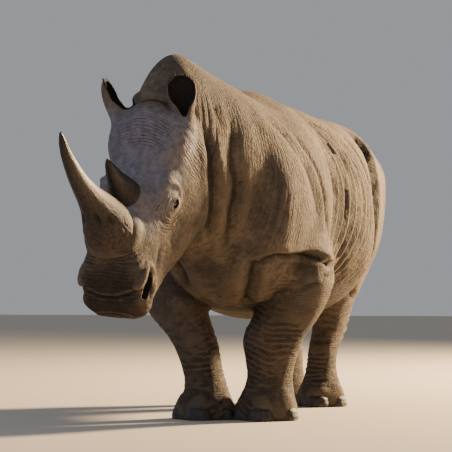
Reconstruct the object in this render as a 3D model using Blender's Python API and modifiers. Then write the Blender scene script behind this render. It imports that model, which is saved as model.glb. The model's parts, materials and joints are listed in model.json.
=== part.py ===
"""A standing white rhinoceros, life size, as a still museum model.

The animal faces -Y with its left side at +X and its soles at Z = 0. The flesh is a set of lofts along straight
axes, joined, remeshed and smoothed into one body, which thin cuts then part into head, neck, trunk and legs. Eyes,
horns, ears, tail and toenails are pieces of their own. Lengths are in metres.
"""

from math import cos, pi, radians, sin, tau
from typing import NamedTuple

import bmesh
import bpy
import numpy as np
from mathutils import Matrix, Vector

# Driving sizes of an adult male.
CREST_HEIGHT = 1.745
GAP = 0.0003
VOXEL = 0.016
SMOOTHING_STEPS = 9
FLESH_TRIANGLES = 4500
FINE_WEIGHT = 0.3
RING_POINTS = 48
RINGS_PER_METRE = 40

LEFT = Vector((1, 0, 0))
FORWARD = Vector((0, -1, 0))
UP = Vector((0, 0, 1))

# The head hangs from the poll, turned to the animal's right, pitched down and tilted.
POLL = Vector((-0.180, -1.545, 1.520))
HEAD_YAW = radians(10)
HEAD_PITCH = radians(58)
HEAD_TILT = radians(4)

# Where the soles stand: distance forward of mid-body, and out from the middle.
FORE_SOLE = (0.71, 0.157)
HIND_LEFT_SOLE = (-0.60, 0.140)
HIND_RIGHT_SOLE = (-0.86, 0.130)
HIP_FORWARD = -0.80


class Frame(NamedTuple):
    """A right-handed set of axes at a point: along the form, across it and out of its back."""

    origin: Vector
    along: Vector
    across: Vector
    rise: Vector

    def point(self, along, across, rise):
        """The place at these three distances from the origin."""
        return self.origin + along * self.along + across * self.across + rise * self.rise


class Section(NamedTuple):
    """One cross-section of a loft: a superellipse with its own height above and below its widest line."""

    at: float
    shift: float
    top: float
    middle: float
    bottom: float
    half: float
    power: float = 2.2


def head_frame():
    """The head's axes: from the poll to the muzzle, to the animal's left, and out of the forehead."""
    ahead = cos(HEAD_YAW) * FORWARD - sin(HEAD_YAW) * LEFT
    left = cos(HEAD_YAW) * LEFT + sin(HEAD_YAW) * FORWARD
    across = cos(HEAD_TILT) * left - sin(HEAD_TILT) * UP
    crown = cos(HEAD_TILT) * UP + sin(HEAD_TILT) * left
    along = cos(HEAD_PITCH) * ahead - sin(HEAD_PITCH) * crown
    rise = sin(HEAD_PITCH) * ahead + cos(HEAD_PITCH) * crown
    return Frame(POLL, along, across, rise)


BODY = Frame(Vector(), FORWARD, LEFT, UP)
HEAD = head_frame()
RIGHT_LEG = Frame(Vector(), UP, -LEFT, FORWARD)
LEFT_LEG = Frame(Vector(), UP, LEFT, FORWARD)

TRUNK = [
    Section(-1.25, 0, 1.22, 1.12, 1.00, 0.06, 2.0),
    Section(-1.22, 0, 1.34, 1.13, 0.90, 0.165, 2.1),
    Section(-1.13, 0, 1.45, 1.15, 0.78, 0.285, 2.25),
    Section(-0.95, 0, 1.545, 1.14, 0.67, 0.390, 2.4),
    Section(-0.72, 0, 1.590, 1.10, 0.59, 0.465, 2.4),
    Section(-0.40, 0, 1.595, 1.02, 0.53, 0.543, 2.25),
    Section(-0.08, 0, 1.592, 0.95, 0.49, 0.587, 2.2),
    Section(0.22, 0, 1.605, 0.95, 0.485, 0.575, 2.15),
    Section(0.48, 0, 1.612, 0.98, 0.51, 0.525, 2.1),
    Section(0.74, 0, 1.58, 1.02, 0.545, 0.465, 2.1),
    Section(0.95, 0, 1.50, 1.05, 0.59, 0.400, 2.1),
    Section(1.10, 0, 1.38, 1.05, 0.67, 0.300, 2.05),
    Section(1.18, 0, 1.22, 1.03, 0.82, 0.140, 2.0),
]
NECK = [
    Section(0.50, 0.00, 1.57, 1.05, 0.68, 0.38, 2.1),
    Section(0.85, -0.02, 1.605, 1.09, 0.69, 0.385, 2.0),
    Section(1.00, -0.04, 1.645, 1.12, 0.71, 0.365, 1.9),
    Section(1.15, -0.080, 1.690, 1.15, 0.76, 0.325, 1.8),
    Section(1.27, -0.115, 1.735, 1.19, 0.83, 0.270, 1.75),
    Section(1.36, -0.135, CREST_HEIGHT + 0.006, 1.24, 0.92, 0.225, 1.75),
    Section(1.44, -0.150, 1.715, 1.28, 1.00, 0.190, 1.8),
    Section(1.51, -0.165, 1.60, 1.28, 1.06, 0.155, 1.9),
    Section(1.57, -0.175, 1.45, 1.27, 1.10, 0.100, 2.0),
]
SKULL = [
    Section(-0.035, 0, -0.07, -0.18, -0.28, 0.09, 2.2),
    Section(0.01, 0, -0.02, -0.19, -0.36, 0.155, 2.3),
    Section(0.09, 0, 0.005, -0.20, -0.43, 0.188, 2.5),
    Section(0.20, 0, -0.015, -0.25, -0.490, 0.205, 2.6),
    Section(0.32, 0, -0.045, -0.30, -0.525, 0.203, 2.7),
    Section(0.43, 0, -0.060, -0.33, -0.540, 0.190, 2.8),
    Section(0.54, 0, -0.060, -0.34, -0.520, 0.172, 2.8),
    Section(0.64, 0, -0.050, -0.32, -0.475, 0.160, 2.8),
    Section(0.73, 0, -0.045, -0.29, -0.435, 0.154, 2.8),
    Section(0.81, 0, -0.075, -0.26, -0.405, 0.156, 2.9),
    Section(0.87, 0, -0.135, -0.25, -0.385, 0.155, 3.0),
    Section(0.92, 0, -0.20, -0.28, -0.370, 0.152, 3.0),
    Section(0.955, 0, -0.255, -0.305, -0.355, 0.135, 2.8),
    Section(0.975, 0, -0.290, -0.320, -0.346, 0.095, 2.5),
]


def foreleg_sections(splay, brace, girth):
    """A foreleg from sole to shoulder; splay leans the forearm out, brace widens it inward, girth its shin."""
    ahead, out = FORE_SOLE
    wide = brace / 2
    return [
        Section(-0.04, out, ahead + 0.150, ahead, ahead - 0.143, 0.136),
        Section(0.05, out, ahead + 0.155, ahead, ahead - 0.145, 0.146),
        Section(0.12, out, ahead + 0.135, ahead - 0.005, ahead - 0.130, 0.130 * girth),
        Section(0.20, out + 0.10 * splay, ahead + 0.110, ahead - 0.010, ahead - 0.120, 0.112 * girth),
        Section(0.30, out + 0.30 * splay - wide / 2, ahead + 0.115, ahead - 0.010, ahead - 0.120, 0.115 * girth + wide / 2),
        Section(0.40, out + 0.60 * splay - wide, ahead + 0.125, ahead - 0.010, ahead - 0.130, 0.130 * girth + wide),
        Section(0.52, out + 0.05 + 0.80 * splay - wide, ahead + 0.125, ahead - 0.020, ahead - 0.150, 0.145 + wide),
        Section(0.66, out + 0.09 + 0.80 * splay, ahead + 0.130, ahead - 0.035, ahead - 0.200, 0.162),
        Section(0.80, out + 0.14 + 0.40 * splay, ahead + 0.140, ahead - 0.060, ahead - 0.270, 0.172),
        Section(0.95, 0.305, 0.86, 0.63, 0.38, 0.180),
        Section(1.12, 0.300, 0.88, 0.62, 0.36, 0.180),
        Section(1.30, 0.265, 0.86, 0.62, 0.38, 0.160, 2.1),
        Section(1.45, 0.210, 0.80, 0.60, 0.40, 0.120, 2.0),
        Section(1.54, 0.170, 0.70, 0.58, 0.46, 0.060, 2.0),
    ]


def hindleg_sections(sole):
    """A hind leg from sole to hip; its lower half goes with the sole, and its thigh with the hip."""
    ahead, out = sole

    def middle(height):
        share = max(0.0, 1 - height / 0.95)
        return HIP_FORWARD * (1 - share) + ahead * share

    hock, gaskin, stifle = middle(0.42), middle(0.54), middle(0.68)
    return [
        Section(-0.04, out, ahead + 0.130, ahead, ahead - 0.122, 0.119),
        Section(0.05, out, ahead + 0.135, ahead, ahead - 0.125, 0.127),
        Section(0.12, out - 0.005, ahead + 0.112, ahead - 0.01, ahead - 0.115, 0.104),
        Section(0.20, out - 0.010, ahead + 0.070, ahead - 0.03, ahead - 0.120, 0.083),
        Section(0.30, out - 0.005, ahead + 0.045, ahead - 0.05, ahead - 0.145, 0.080),
        Section(0.42, out + 0.010, hock + 0.080, hock - 0.05, hock - 0.200, 0.090),
        Section(0.54, out + 0.025, gaskin + 0.130, gaskin - 0.03, gaskin - 0.210, 0.107),
        Section(0.68, out + 0.055, stifle + 0.210, stifle, stifle - 0.230, 0.136),
        Section(0.82, 0.205, HIP_FORWARD + 0.280, HIP_FORWARD, HIP_FORWARD - 0.270, 0.168),
        Section(0.98, 0.230, HIP_FORWARD + 0.300, HIP_FORWARD, HIP_FORWARD - 0.330, 0.188),
        Section(1.15, 0.245, HIP_FORWARD + 0.270, HIP_FORWARD, HIP_FORWARD - 0.340, 0.195),
        Section(1.32, 0.245, HIP_FORWARD + 0.220, HIP_FORWARD - 0.02, HIP_FORWARD - 0.270, 0.180, 2.1),
        Section(1.46, 0.190, HIP_FORWARD + 0.140, HIP_FORWARD - 0.04, HIP_FORWARD - 0.200, 0.110, 2.0),
    ]


# Swellings of the head: the centre (along, across, rise), then the half-sizes. Each is made on both sides.
SWELLINGS = {
    "brow": ((0.415, 0.130, -0.125), (0.095, 0.055, 0.055)),
    "eye_mound": ((0.450, 0.130, -0.190), (0.075, 0.050, 0.065)),
    "temple": ((0.150, 0.130, -0.085), (0.130, 0.072, 0.075)),
    "jaw": ((0.310, 0.122, -0.365), (0.190, 0.092, 0.145)),
    "nostril_wing": ((0.835, 0.115, -0.215), (0.070, 0.045, 0.085)),
    "upper_lip": ((0.915, 0.075, -0.285), (0.055, 0.085, 0.055)),
}
CENTRE_SWELLINGS = {
    "front_boss": ((0.700, 0.0, -0.060), (0.135, 0.135, 0.075)),
    "rear_boss": ((0.520, 0.0, -0.075), (0.110, 0.100, 0.055)),
    "poll": ((0.085, 0.0, -0.055), (0.110, 0.110, 0.085)),
    "lower_lip": ((0.865, 0.0, -0.355), (0.075, 0.105, 0.040)),
}
# Each toe swells the front of its foot: its bearing from straight ahead, and its half-width.
TOES = ((0.0, 0.062), (radians(66), 0.048), (radians(-66), 0.048))
TOE_HEIGHT = 0.055

# Horns: (along the head, out of the face) of the middle line, with the radius along and across the head.
FRONT_HORN = [
    (0.708, -0.100, 0.115, 0.118),
    (0.706, -0.030, 0.116, 0.119),
    (0.698, 0.020, 0.110, 0.112),
    (0.692, 0.075, 0.098, 0.097),
    (0.690, 0.130, 0.083, 0.080),
    (0.692, 0.190, 0.068, 0.065),
    (0.695, 0.250, 0.056, 0.054),
    (0.697, 0.313, 0.047, 0.045),
    (0.694, 0.380, 0.040, 0.038),
    (0.684, 0.456, 0.032, 0.031),
    (0.663, 0.537, 0.023, 0.022),
    (0.644, 0.585, 0.015, 0.015),
    (0.628, 0.615, 0.006, 0.006),
]
REAR_HORN = [
    (0.508, -0.120, 0.090, 0.080),
    (0.510, -0.036, 0.088, 0.078),
    (0.505, 0.010, 0.073, 0.063),
    (0.497, 0.075, 0.048, 0.041),
    (0.488, 0.140, 0.028, 0.025),
    (0.480, 0.182, 0.014, 0.013),
    (0.475, 0.198, 0.005, 0.005),
]

# An ear along its own axis: distance, half-width, opening side, back side.
EAR = [
    (-0.050, 0.038, 0.030, -0.036),
    (0.000, 0.041, 0.034, -0.040),
    (0.045, 0.050, 0.036, -0.044),
    (0.095, 0.060, 0.032, -0.046),
    (0.140, 0.060, 0.024, -0.042),
    (0.175, 0.048, 0.012, -0.034),
    (0.200, 0.028, 0.000, -0.024),
    (0.214, 0.008, -0.008, -0.016),
]
EAR_WALL = 0.008
EAR_MOUTH = 0.050

EYE_RADIUS = 0.024
EYE_PLACE = (0.440, 0.160, -0.186)

# The tail's middle line as (forward, height) with its half-width and half-depth.
TAIL = [
    (-1.150, 1.400, 0.060, 0.050),
    (-1.215, 1.345, 0.056, 0.046),
    (-1.262, 1.265, 0.048, 0.036),
    (-1.288, 1.150, 0.038, 0.029),
    (-1.288, 1.030, 0.030, 0.024),
    (-1.272, 0.920, 0.025, 0.020),
    (-1.262, 0.840, 0.023, 0.018),
]
TAIL_TUFT = [
    (-1.2619, 0.8393, 0.023, 0.018),
    (-1.257, 0.800, 0.034, 0.022),
    (-1.256, 0.740, 0.040, 0.022),
    (-1.256, 0.670, 0.030, 0.016),
    (-1.258, 0.610, 0.012, 0.007),
]

# Where the flesh is parted, as (height, forward) pairs on each cutting plane.
HEAD_CUT = ((1.70, 1.460), (0.90, 1.235))
NECK_CUT = ((1.65, 0.940), (0.70, 1.080))
# A leg leaves the trunk under a plane that rises outward: (height at the middle, height 0.5 m out), then the
# hindmost and foremost reach at the floor and at that plane.
FORELEG_CUT = ((0.490, 0.850), (0.450, 0.985), (0.395, 0.965))
HIND_LEFT_CUT = ((0.505, 0.850), (-0.990, -0.400), (-1.350, -0.540))
HIND_RIGHT_CUT = ((0.505, 0.850), (-1.200, -0.680), (-1.350, -0.570))

SKIN, HORN, NAIL, EYE, HAIR = "rhino_skin", "horn_keratin", "nail_keratin", "eye_cornea", "bristle"
COLOURS = {
    SKIN: (0.23, 0.19, 0.155, 1.0),
    HORN: (0.16, 0.115, 0.08, 1.0),
    NAIL: (0.12, 0.095, 0.075, 1.0),
    EYE: (0.012, 0.008, 0.006, 1.0),
    HAIR: (0.02, 0.016, 0.013, 1.0),
}
ROUGHNESS = {SKIN: 0.85, HORN: 0.6, NAIL: 0.6, EYE: 0.12, HAIR: 0.7}


def smooth_curve(at, places, values):
    """The height at each point of a smooth curve through (place, value) pairs, by cubic Hermite pieces."""
    places, values = np.asarray(places, float), np.asarray(values, float)
    step = np.diff(places)
    slope = np.diff(values) / step
    tangent = np.concatenate([slope[:1], (slope[:-1] * step[1:] + slope[1:] * step[:-1]) / (step[1:] + step[:-1]), slope[-1:]])
    piece = np.clip(np.searchsorted(places, at) - 1, 0, len(step) - 1)
    width = step[piece]
    t = (at - places[piece]) / width
    start = (2 * t**3 - 3 * t**2 + 1) * values[piece] + (t**3 - 2 * t**2 + t) * width * tangent[piece]
    end = (3 * t**2 - 2 * t**3) * values[piece + 1] + (t**3 - t**2) * width * tangent[piece + 1]
    return start + end


def add_mesh(name, points, faces):
    """A mesh object in the scene's helper collection."""
    mesh = bpy.data.meshes.new(name)
    mesh.from_pydata([tuple(map(float, point)) for point in points], [], [tuple(map(int, face)) for face in faces])
    item = bpy.data.objects.new(name, mesh)
    HELPERS.objects.link(item)
    return item


def ring_faces(rings, count):
    """Quads between the rings of a tube, and one face over each end."""
    step = np.arange(count)
    faces = []
    for ring in range(rings - 1):
        low, high = ring * count + step, (ring + 1) * count + step
        faces += np.stack([low, np.roll(low, -1), np.roll(high, -1), high], 1).tolist()
    faces.append(step[::-1].tolist())
    faces.append(((rings - 1) * count + step).tolist())
    return faces


def upright(item):
    """Turns the faces of a closed mesh outward."""
    shape = bmesh.new()
    shape.from_mesh(item.data)
    bmesh.ops.recalc_face_normals(shape, faces=shape.faces)
    shape.to_mesh(item.data)
    shape.free()
    return item


def loft(name, frame, sections, points=RING_POINTS, density=RINGS_PER_METRE):
    """A closed solid through superelliptic sections, with smooth curves through their sizes.

    The outline of a section at angle a is half * |cos a|^(2/power) across, and the height above or below the
    middle * |sin a|^(2/power).
    """
    table = np.array(sections, float)
    places = table[:, 0]
    span = places[-1] - places[0]
    at = np.linspace(places[0], places[-1], max(6, round(span * density)) + 1)
    at = np.unique(np.concatenate([at, places]))
    at = at[np.concatenate([[True], np.diff(at) > 0.35 * span / len(at)])]
    shift, top, middle, bottom, half, power = (smooth_curve(at, places, table[:, i]) for i in range(1, 7))
    angle = np.linspace(0, tau, points, endpoint=False)
    flat = 2 / power[:, None]
    across = shift[:, None] + half[:, None] * np.sign(np.cos(angle)) * np.abs(np.cos(angle)) ** flat
    reach = np.where(np.sin(angle) >= 0, (top - middle)[:, None], (middle - bottom)[:, None])
    rise = middle[:, None] + reach * np.sign(np.sin(angle)) * np.abs(np.sin(angle)) ** flat
    axes = np.array([frame.along, frame.across, frame.rise])
    local = np.stack([np.broadcast_to(at[:, None], across.shape), across, rise], -1)
    world = np.array(frame.origin) + local.reshape(-1, 3) @ axes
    return upright(add_mesh(name, world, ring_faces(len(at), points)))


def ball(name, frame, centre, halves, rings=12):
    """An ellipsoid with its half-sizes along the frame's axes."""
    shape = bmesh.new()
    bmesh.ops.create_uvsphere(shape, u_segments=2 * rings, v_segments=rings, radius=1)
    for vertex in shape.verts:
        local = [middle + half * value for middle, half, value in zip(centre, halves, vertex.co)]
        vertex.co = frame.point(*local)
    shape.normal_update()
    mesh = bpy.data.meshes.new(name)
    shape.to_mesh(mesh)
    shape.free()
    item = bpy.data.objects.new(name, mesh)
    HELPERS.objects.link(item)
    return upright(item)


def tube(name, centres, widths, depths, wide, points=12):
    """A closed tube along a path, elliptical across, with `wide` the direction of its widths."""
    centres = [Vector(centre) for centre in centres]
    vertices = []
    for index, centre in enumerate(centres):
        ahead = centres[min(index + 1, len(centres) - 1)] - centres[max(index - 1, 0)]
        ahead.normalize()
        side = (wide - wide.dot(ahead) * ahead).normalized()
        deep = ahead.cross(side)
        for step in range(points):
            angle = tau * step / points
            vertices.append(centre + side * widths[index] * cos(angle) + deep * depths[index] * sin(angle))
    return upright(add_mesh(name, vertices, ring_faces(len(centres), points)))


def slab(name, frame, low, high):
    """A box between two corners given along the frame's axes."""
    shape = bmesh.new()
    bmesh.ops.create_cube(shape, size=1)
    for vertex in shape.verts:
        local = [a + (b - a) * (value + 0.5) for a, b, value in zip(low, high, vertex.co)]
        vertex.co = frame.point(*local)
    shape.normal_update()
    mesh = bpy.data.meshes.new(name)
    shape.to_mesh(mesh)
    shape.free()
    item = bpy.data.objects.new(name, mesh)
    HELPERS.objects.link(item)
    return upright(item)


def evaluated(item, name):
    """A new object holding the item's mesh after its modifiers."""
    bpy.context.view_layer.update()
    graph = bpy.context.evaluated_depsgraph_get()
    mesh = bpy.data.meshes.new_from_object(item.evaluated_get(graph))
    made = bpy.data.objects.new(name, mesh)
    HELPERS.objects.link(made)
    return made


def boolean(item, operation, other):
    """One exact Boolean on the item."""
    step = item.modifiers.new(f"{operation.lower()} {other.name}", "BOOLEAN")
    step.operation = operation
    step.solver = "EXACT"
    step.object = other


def joined(name, items):
    """One mesh holding the faces of all these objects."""
    shape = bmesh.new()
    for item in items:
        shape.from_mesh(item.data)
    mesh = bpy.data.meshes.new(name)
    shape.to_mesh(mesh)
    shape.free()
    made = bpy.data.objects.new(name, mesh)
    HELPERS.objects.link(made)
    return made


def mirrored(values, side):
    """The same place or sizes on the other side, when side is -1."""
    along, across, rise = values
    return along, side * across, rise


def sole_of(leg):
    """The middle of a leg's sole, as (forward, to the left)."""
    ahead, out = {"foreleg": FORE_SOLE, "hindleg_left": HIND_LEFT_SOLE, "hindleg_right": HIND_RIGHT_SOLE}[
        leg if leg.startswith("hind") else "foreleg"
    ]
    return ahead, out if leg.endswith("left") else -out


def toe_frame(leg, bearing):
    """Axes at the middle of a sole, turned to a toe: outward, sideways and up."""
    ahead, out = sole_of(leg)
    outward = cos(bearing) * FORWARD + sin(bearing) * LEFT
    return Frame(ahead * FORWARD + out * LEFT, outward, UP.cross(outward), UP)


def toe_reach(leg, bearing):
    """How far from the middle of the sole a toe's own middle stands."""
    long, wide = (0.155, 0.146) if leg.startswith("fore") else (0.135, 0.127)
    return 1 / ((cos(bearing) / long) ** 2 + (sin(bearing) / wide) ** 2) ** 0.5 - (0.048 if bearing else 0.035)


LEGS = ("foreleg_left", "foreleg_right", "hindleg_left", "hindleg_right")


def body_lofts():
    """Every form that makes up the flesh."""
    items = [
        loft("trunk form", BODY, TRUNK),
        loft("neck form", BODY, NECK),
        loft("skull form", HEAD, SKULL),
        loft("left foreleg form", LEFT_LEG, foreleg_sections(0.08, 0.04, 1.0)),
        loft("right foreleg form", RIGHT_LEG, foreleg_sections(0.12, 0.0, 0.88)),
        loft("left hind leg form", LEFT_LEG, hindleg_sections(HIND_LEFT_SOLE)),
        loft("right hind leg form", RIGHT_LEG, hindleg_sections(HIND_RIGHT_SOLE)),
    ]
    for name, (centre, halves) in SWELLINGS.items():
        items += [ball(f"{name} {side}", HEAD, mirrored(centre, side), halves) for side in (1, -1)]
    items += [ball(name, HEAD, centre, halves) for name, (centre, halves) in CENTRE_SWELLINGS.items()]
    for leg in LEGS:
        for number, (bearing, half) in enumerate(TOES):
            reach = toe_reach(leg, bearing)
            items.append(ball(f"{leg} toe {number}", toe_frame(leg, bearing), (reach, 0, 0.04), (0.052, half, 0.06)))
    return items


def make_flesh():
    """The whole body as one closed mesh of few triangles, with flat soles at the floor."""
    flesh = joined("joined forms", body_lofts())
    remesh = flesh.modifiers.new("join", "REMESH")
    remesh.mode = "VOXEL"
    remesh.voxel_size = VOXEL
    smooth = flesh.modifiers.new("blend", "SMOOTH")
    smooth.factor = 0.5
    smooth.iterations = SMOOTHING_STEPS
    blended = evaluated(flesh, "blended flesh")
    coarse = blended.vertex_groups.new(name="coarse")
    for vertex in blended.data.vertices:
        ahead, height = -vertex.co.y, vertex.co.z
        fine = ahead > 1.5 or (ahead > 1.3 and height < 1.25) or height < 0.12
        coarse.add([vertex.index], 0.5 if fine else 1.0, "REPLACE")
    fewer = blended.modifiers.new("fewer", "DECIMATE")
    fewer.ratio = FLESH_TRIANGLES / (2 * len(blended.data.polygons))
    fewer.vertex_group = "coarse"
    fewer.vertex_group_factor = FINE_WEIGHT
    reduced = evaluated(blended, "reduced flesh")
    boolean(reduced, "DIFFERENCE", slab("floor cutter", BODY, (-3, -2, -1), (3, 2, 0.0)))
    for side in (1, -1):
        centre = mirrored(EYE_PLACE, side)
        boolean(reduced, "DIFFERENCE", ball(f"eye socket {side}", HEAD, centre, (EYE_RADIUS + GAP,) * 3, 8))
        opening = mirrored((0.4413, 0.199, -0.1853), side)
        boolean(reduced, "DIFFERENCE", ball(f"eye opening {side}", HEAD, opening, (0.029, 0.031, 0.019), 7))
        nostril = mirrored((0.838, 0.152, -0.245), side)
        boolean(reduced, "DIFFERENCE", ball(f"nostril cutter {side}", HEAD, nostril, (0.020, 0.026, 0.030), 6))
    return evaluated(reduced, "whole flesh")


def half_space(name, cut, side, inset):
    """A large block on one side of a plane across the body given by two (height, forward) points."""
    (high, high_ahead), (low, low_ahead) = cut
    down = Vector((0, -(low_ahead - high_ahead), low - high)).normalized()
    ahead = down.cross(LEFT)
    if ahead.dot(FORWARD) < 0:
        ahead = -ahead
    frame = Frame(high_ahead * FORWARD + high * UP, side * ahead, LEFT, down)
    return slab(name, frame, (inset, -2, -2), (3, 2, 3))


def leg_block(name, cut, side, inset):
    """A block round a leg, with sloping front, back and top faces, drawn in by the inset."""
    (inner, outer), (back_low, front_low), (back_high, front_high) = cut
    far = 0.9
    far_height = inner + (outer - inner) * far / 0.5 - inset
    corners = []
    for out, height in ((inset, inner - inset), (far - inset, far_height)):
        corners.append((out, -0.1, back_low + inset, front_low - inset))
        corners.append((out, height, back_high + inset, front_high - inset))
    points = []
    for out, height, back, front in corners:
        points.append(side * out * LEFT + back * FORWARD + height * UP)
        points.append(side * out * LEFT + front * FORWARD + height * UP)
    faces = [(0, 1, 3, 2), (4, 6, 7, 5), (0, 4, 5, 1), (2, 3, 7, 6), (0, 2, 6, 4), (1, 5, 7, 3)]
    return upright(add_mesh(name, points, faces))


def inflated(item, name, distance):
    """A copy of the item with its surface moved outward."""
    copy = evaluated(item, name)
    grow = copy.modifiers.new("grow", "DISPLACE")
    grow.strength = distance
    grow.mid_level = 0
    return evaluated(copy, name)


def node(name, item, material, angle=35):
    """Finishes an object as a node of this name."""
    made = evaluated(item, name)
    made.name = name
    shape = bmesh.new()
    shape.from_mesh(made.data)
    bmesh.ops.triangulate(shape, faces=shape.faces)
    bmesh.ops.remove_doubles(shape, verts=shape.verts, dist=0.000001)
    shape.to_mesh(made.data)
    shape.free()
    made.data.materials.clear()
    made.data.materials.append(MATERIALS[material])
    for face in made.data.polygons:
        face.use_smooth = True
        face.material_index = 0
    made.data.set_sharp_from_angle(angle=radians(angle))
    HELPERS.objects.unlink(made)
    BODY_PARTS.objects.link(made)
    return made


def part_flesh(flesh, grown):
    """Cuts the flesh into head, neck, trunk and legs."""
    cuts = {
        "foreleg_left": (FORELEG_CUT, 1),
        "foreleg_right": (FORELEG_CUT, -1),
        "hindleg_left": (HIND_LEFT_CUT, 1),
        "hindleg_right": (HIND_RIGHT_CUT, -1),
    }
    trunk = evaluated(flesh, "trunk flesh")
    boolean(trunk, "INTERSECT", half_space("behind neck", NECK_CUT, -1, GAP))
    for leg, (cut, side) in cuts.items():
        boolean(trunk, "DIFFERENCE", leg_block(f"{leg} room", cut, side, 0))
        piece = evaluated(flesh, f"{leg} flesh")
        boolean(piece, "INTERSECT", leg_block(f"{leg} block", cut, side, 1.2 * GAP))
        node(leg, piece, SKIN)
    node("trunk", trunk, SKIN)
    neck = evaluated(flesh, "neck flesh")
    boolean(neck, "INTERSECT", half_space("before trunk", NECK_CUT, 1, 0))
    boolean(neck, "INTERSECT", half_space("behind head", HEAD_CUT, -1, GAP))
    node("neck", neck, SKIN)
    head = evaluated(flesh, "head flesh")
    boolean(head, "INTERSECT", half_space("before neck", HEAD_CUT, 1, 0))
    node("head", head, SKIN)


def make_horns(grown):
    """Both horns, each seated on the head."""
    for name, rows in (("horn_front", FRONT_HORN), ("horn_rear", REAR_HORN)):
        points, count = [], 12
        for along, rise, long, wide in rows:
            points += [
                HEAD.point(along + long * cos(tau * i / count), wide * sin(tau * i / count), rise) for i in range(count)
            ]
        horn = upright(add_mesh(f"{name} form", points, ring_faces(len(rows), count)))
        boolean(horn, "DIFFERENCE", grown)
        node(name, horn, HORN)


def make_ears(grown):
    """Both ears, hollow and open to one side, each seated on the head."""
    for name, frame in ear_frames().items():
        table = [Section(at, 0, opening, (opening + back) / 2, back, half, 2.0) for at, half, opening, back in EAR]
        ear = loft(f"{name} form", frame, table, 12, 28)
        hollow = [
            Section(at, 0, opening + 0.10, back + 0.4 * (opening - back), back + EAR_WALL, half - EAR_WALL, 2.0)
            for at, half, opening, back in EAR
            if 0.06 < at < 0.19
        ]
        first = hollow[0]
        low = first._replace(at=EAR_MOUTH, half=first.half * 0.6, top=first.top - 0.05, bottom=first.bottom + 0.02)
        last = hollow[-1]
        high = last._replace(at=0.198, half=0.016, bottom=last.bottom + 0.018)
        boolean(ear, "DIFFERENCE", loft(f"{name} hollow", frame, [low, *hollow, high], 10, 24))
        boolean(ear, "DIFFERENCE", grown)
        node(name, ear, SKIN)


def ear_frames():
    """The axes of each ear: from its base to its tip, across it, and out of its opening."""
    frames = {}
    for name, (place, axis, opening) in EAR_POSES.items():
        along = Vector(axis).normalized()
        rise = Vector(opening)
        rise = (rise - rise.dot(along) * along).normalized()
        frames[name] = Frame(HEAD.point(*place), along, rise.cross(along), rise)
    return frames


# Each ear: its base on the head, then the directions of its tip and of its opening, in body axes.
EAR_POSES = {
    "ear_left": ((0.055, 0.152, -0.060), (0.02, 0.10, 1.0), (0.30, -1.0, 0.20)),
    "ear_right": ((0.075, -0.172, -0.050), (-0.34, -0.15, 1.0), (0.75, -0.55, 0.1)),
}


def make_eyes():
    """Both eyeballs."""
    for name, side in (("eye_left", 1), ("eye_right", -1)):
        node(name, ball(f"{name} form", HEAD, mirrored(EYE_PLACE, side), (EYE_RADIUS,) * 3, 8), EYE, 60)


def make_nails(grown):
    """Three nails on each foot, curved plates just clear of the floor."""
    for leg in LEGS:
        for number, (bearing, half) in enumerate(TOES):
            frame = toe_frame(leg, bearing)
            reach = toe_reach(leg, bearing)
            order = ("middle", "outer", "inner") if leg.endswith("left") else ("middle", "inner", "outer")
            name = f"nail_{leg}_{order[number]}"
            place = (reach + 0.022, 0, 0.010)
            nail = ball(f"{name} form", frame, place, (0.046, half * 0.92, 0.058), 7)
            boolean(nail, "INTERSECT", slab(f"{name} bounds", frame, (0, -1, 0.003), (1, 1, 0.2)))
            boolean(nail, "DIFFERENCE", grown)
            node(name, nail, NAIL)


def make_tail(grown):
    """The tail and its bristle tuft."""
    for name, rows, material in (("tail", TAIL, SKIN), ("tail_tuft", TAIL_TUFT, HAIR)):
        centres = [ahead * FORWARD + height * UP for ahead, height, _, _ in rows]
        item = tube(f"{name} form", centres, [row[2] for row in rows], [row[3] for row in rows], LEFT)
        if name == "tail":
            boolean(item, "DIFFERENCE", grown)
        node(name, item, material)


def make_material(name):
    """A plain material of one colour."""
    material = bpy.data.materials.new(name)
    material.use_nodes = True
    shader = material.node_tree.nodes["Principled BSDF"]
    shader.inputs["Base Color"].default_value = COLOURS[name]
    shader.inputs["Roughness"].default_value = ROUGHNESS[name]
    material.diffuse_color = COLOURS[name]
    material.roughness = ROUGHNESS[name]
    return material


def centre_model():
    """Moves every node so that the middle of the whole box stands at X = Y = 0."""
    corners = np.array([vertex.co[:] for item in BODY_PARTS.objects for vertex in item.data.vertices])
    middle = (corners.min(0) + corners.max(0)) / 2
    for item in BODY_PARTS.objects:
        item.data.transform(Matrix.Translation((-middle[0], -middle[1], 0)))
    return middle


def main():
    """Builds every node."""
    flesh = make_flesh()
    grown = inflated(flesh, "grown flesh", 2 * GAP)
    part_flesh(flesh, grown)
    make_horns(grown)
    make_ears(grown)
    make_eyes()
    make_nails(grown)
    make_tail(grown)
    middle = centre_model()
    print("The model was moved by", [round(-value, 5) for value in middle[:2]])
    for item in HELPERS.objects:
        item.hide_render = True
        item.hide_set(True)
        item.display_type = "WIRE"


for item in list(bpy.data.objects):
    bpy.data.objects.remove(item, do_unlink=True)
HELPERS = bpy.data.collections.new("Cutters")
BODY_PARTS = bpy.data.collections.new("white_rhinoceros")
bpy.context.scene.collection.children.link(HELPERS)
bpy.context.scene.collection.children.link(BODY_PARTS)
MATERIALS = {name: make_material(name) for name in COLOURS}
main()
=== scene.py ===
"""White rhinoceros: one folded skin over lofted flesh, with its horns, ears, eyes, nails and bristles.

The forms are lofts along straight axes, read as distance fields and blended into each other, so one skin
runs over head, neck, trunk, legs and tail. Lengths are in metres. In the table frame the animal faces -Y,
its left is at +X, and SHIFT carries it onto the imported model.
"""

import json
import logging
from dataclasses import dataclass
from enum import Enum
from math import cos, pi, radians, sin, sqrt, tau
from typing import NamedTuple, Sequence

import bpy
import numpy as np
from mathutils import Matrix, Vector

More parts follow.
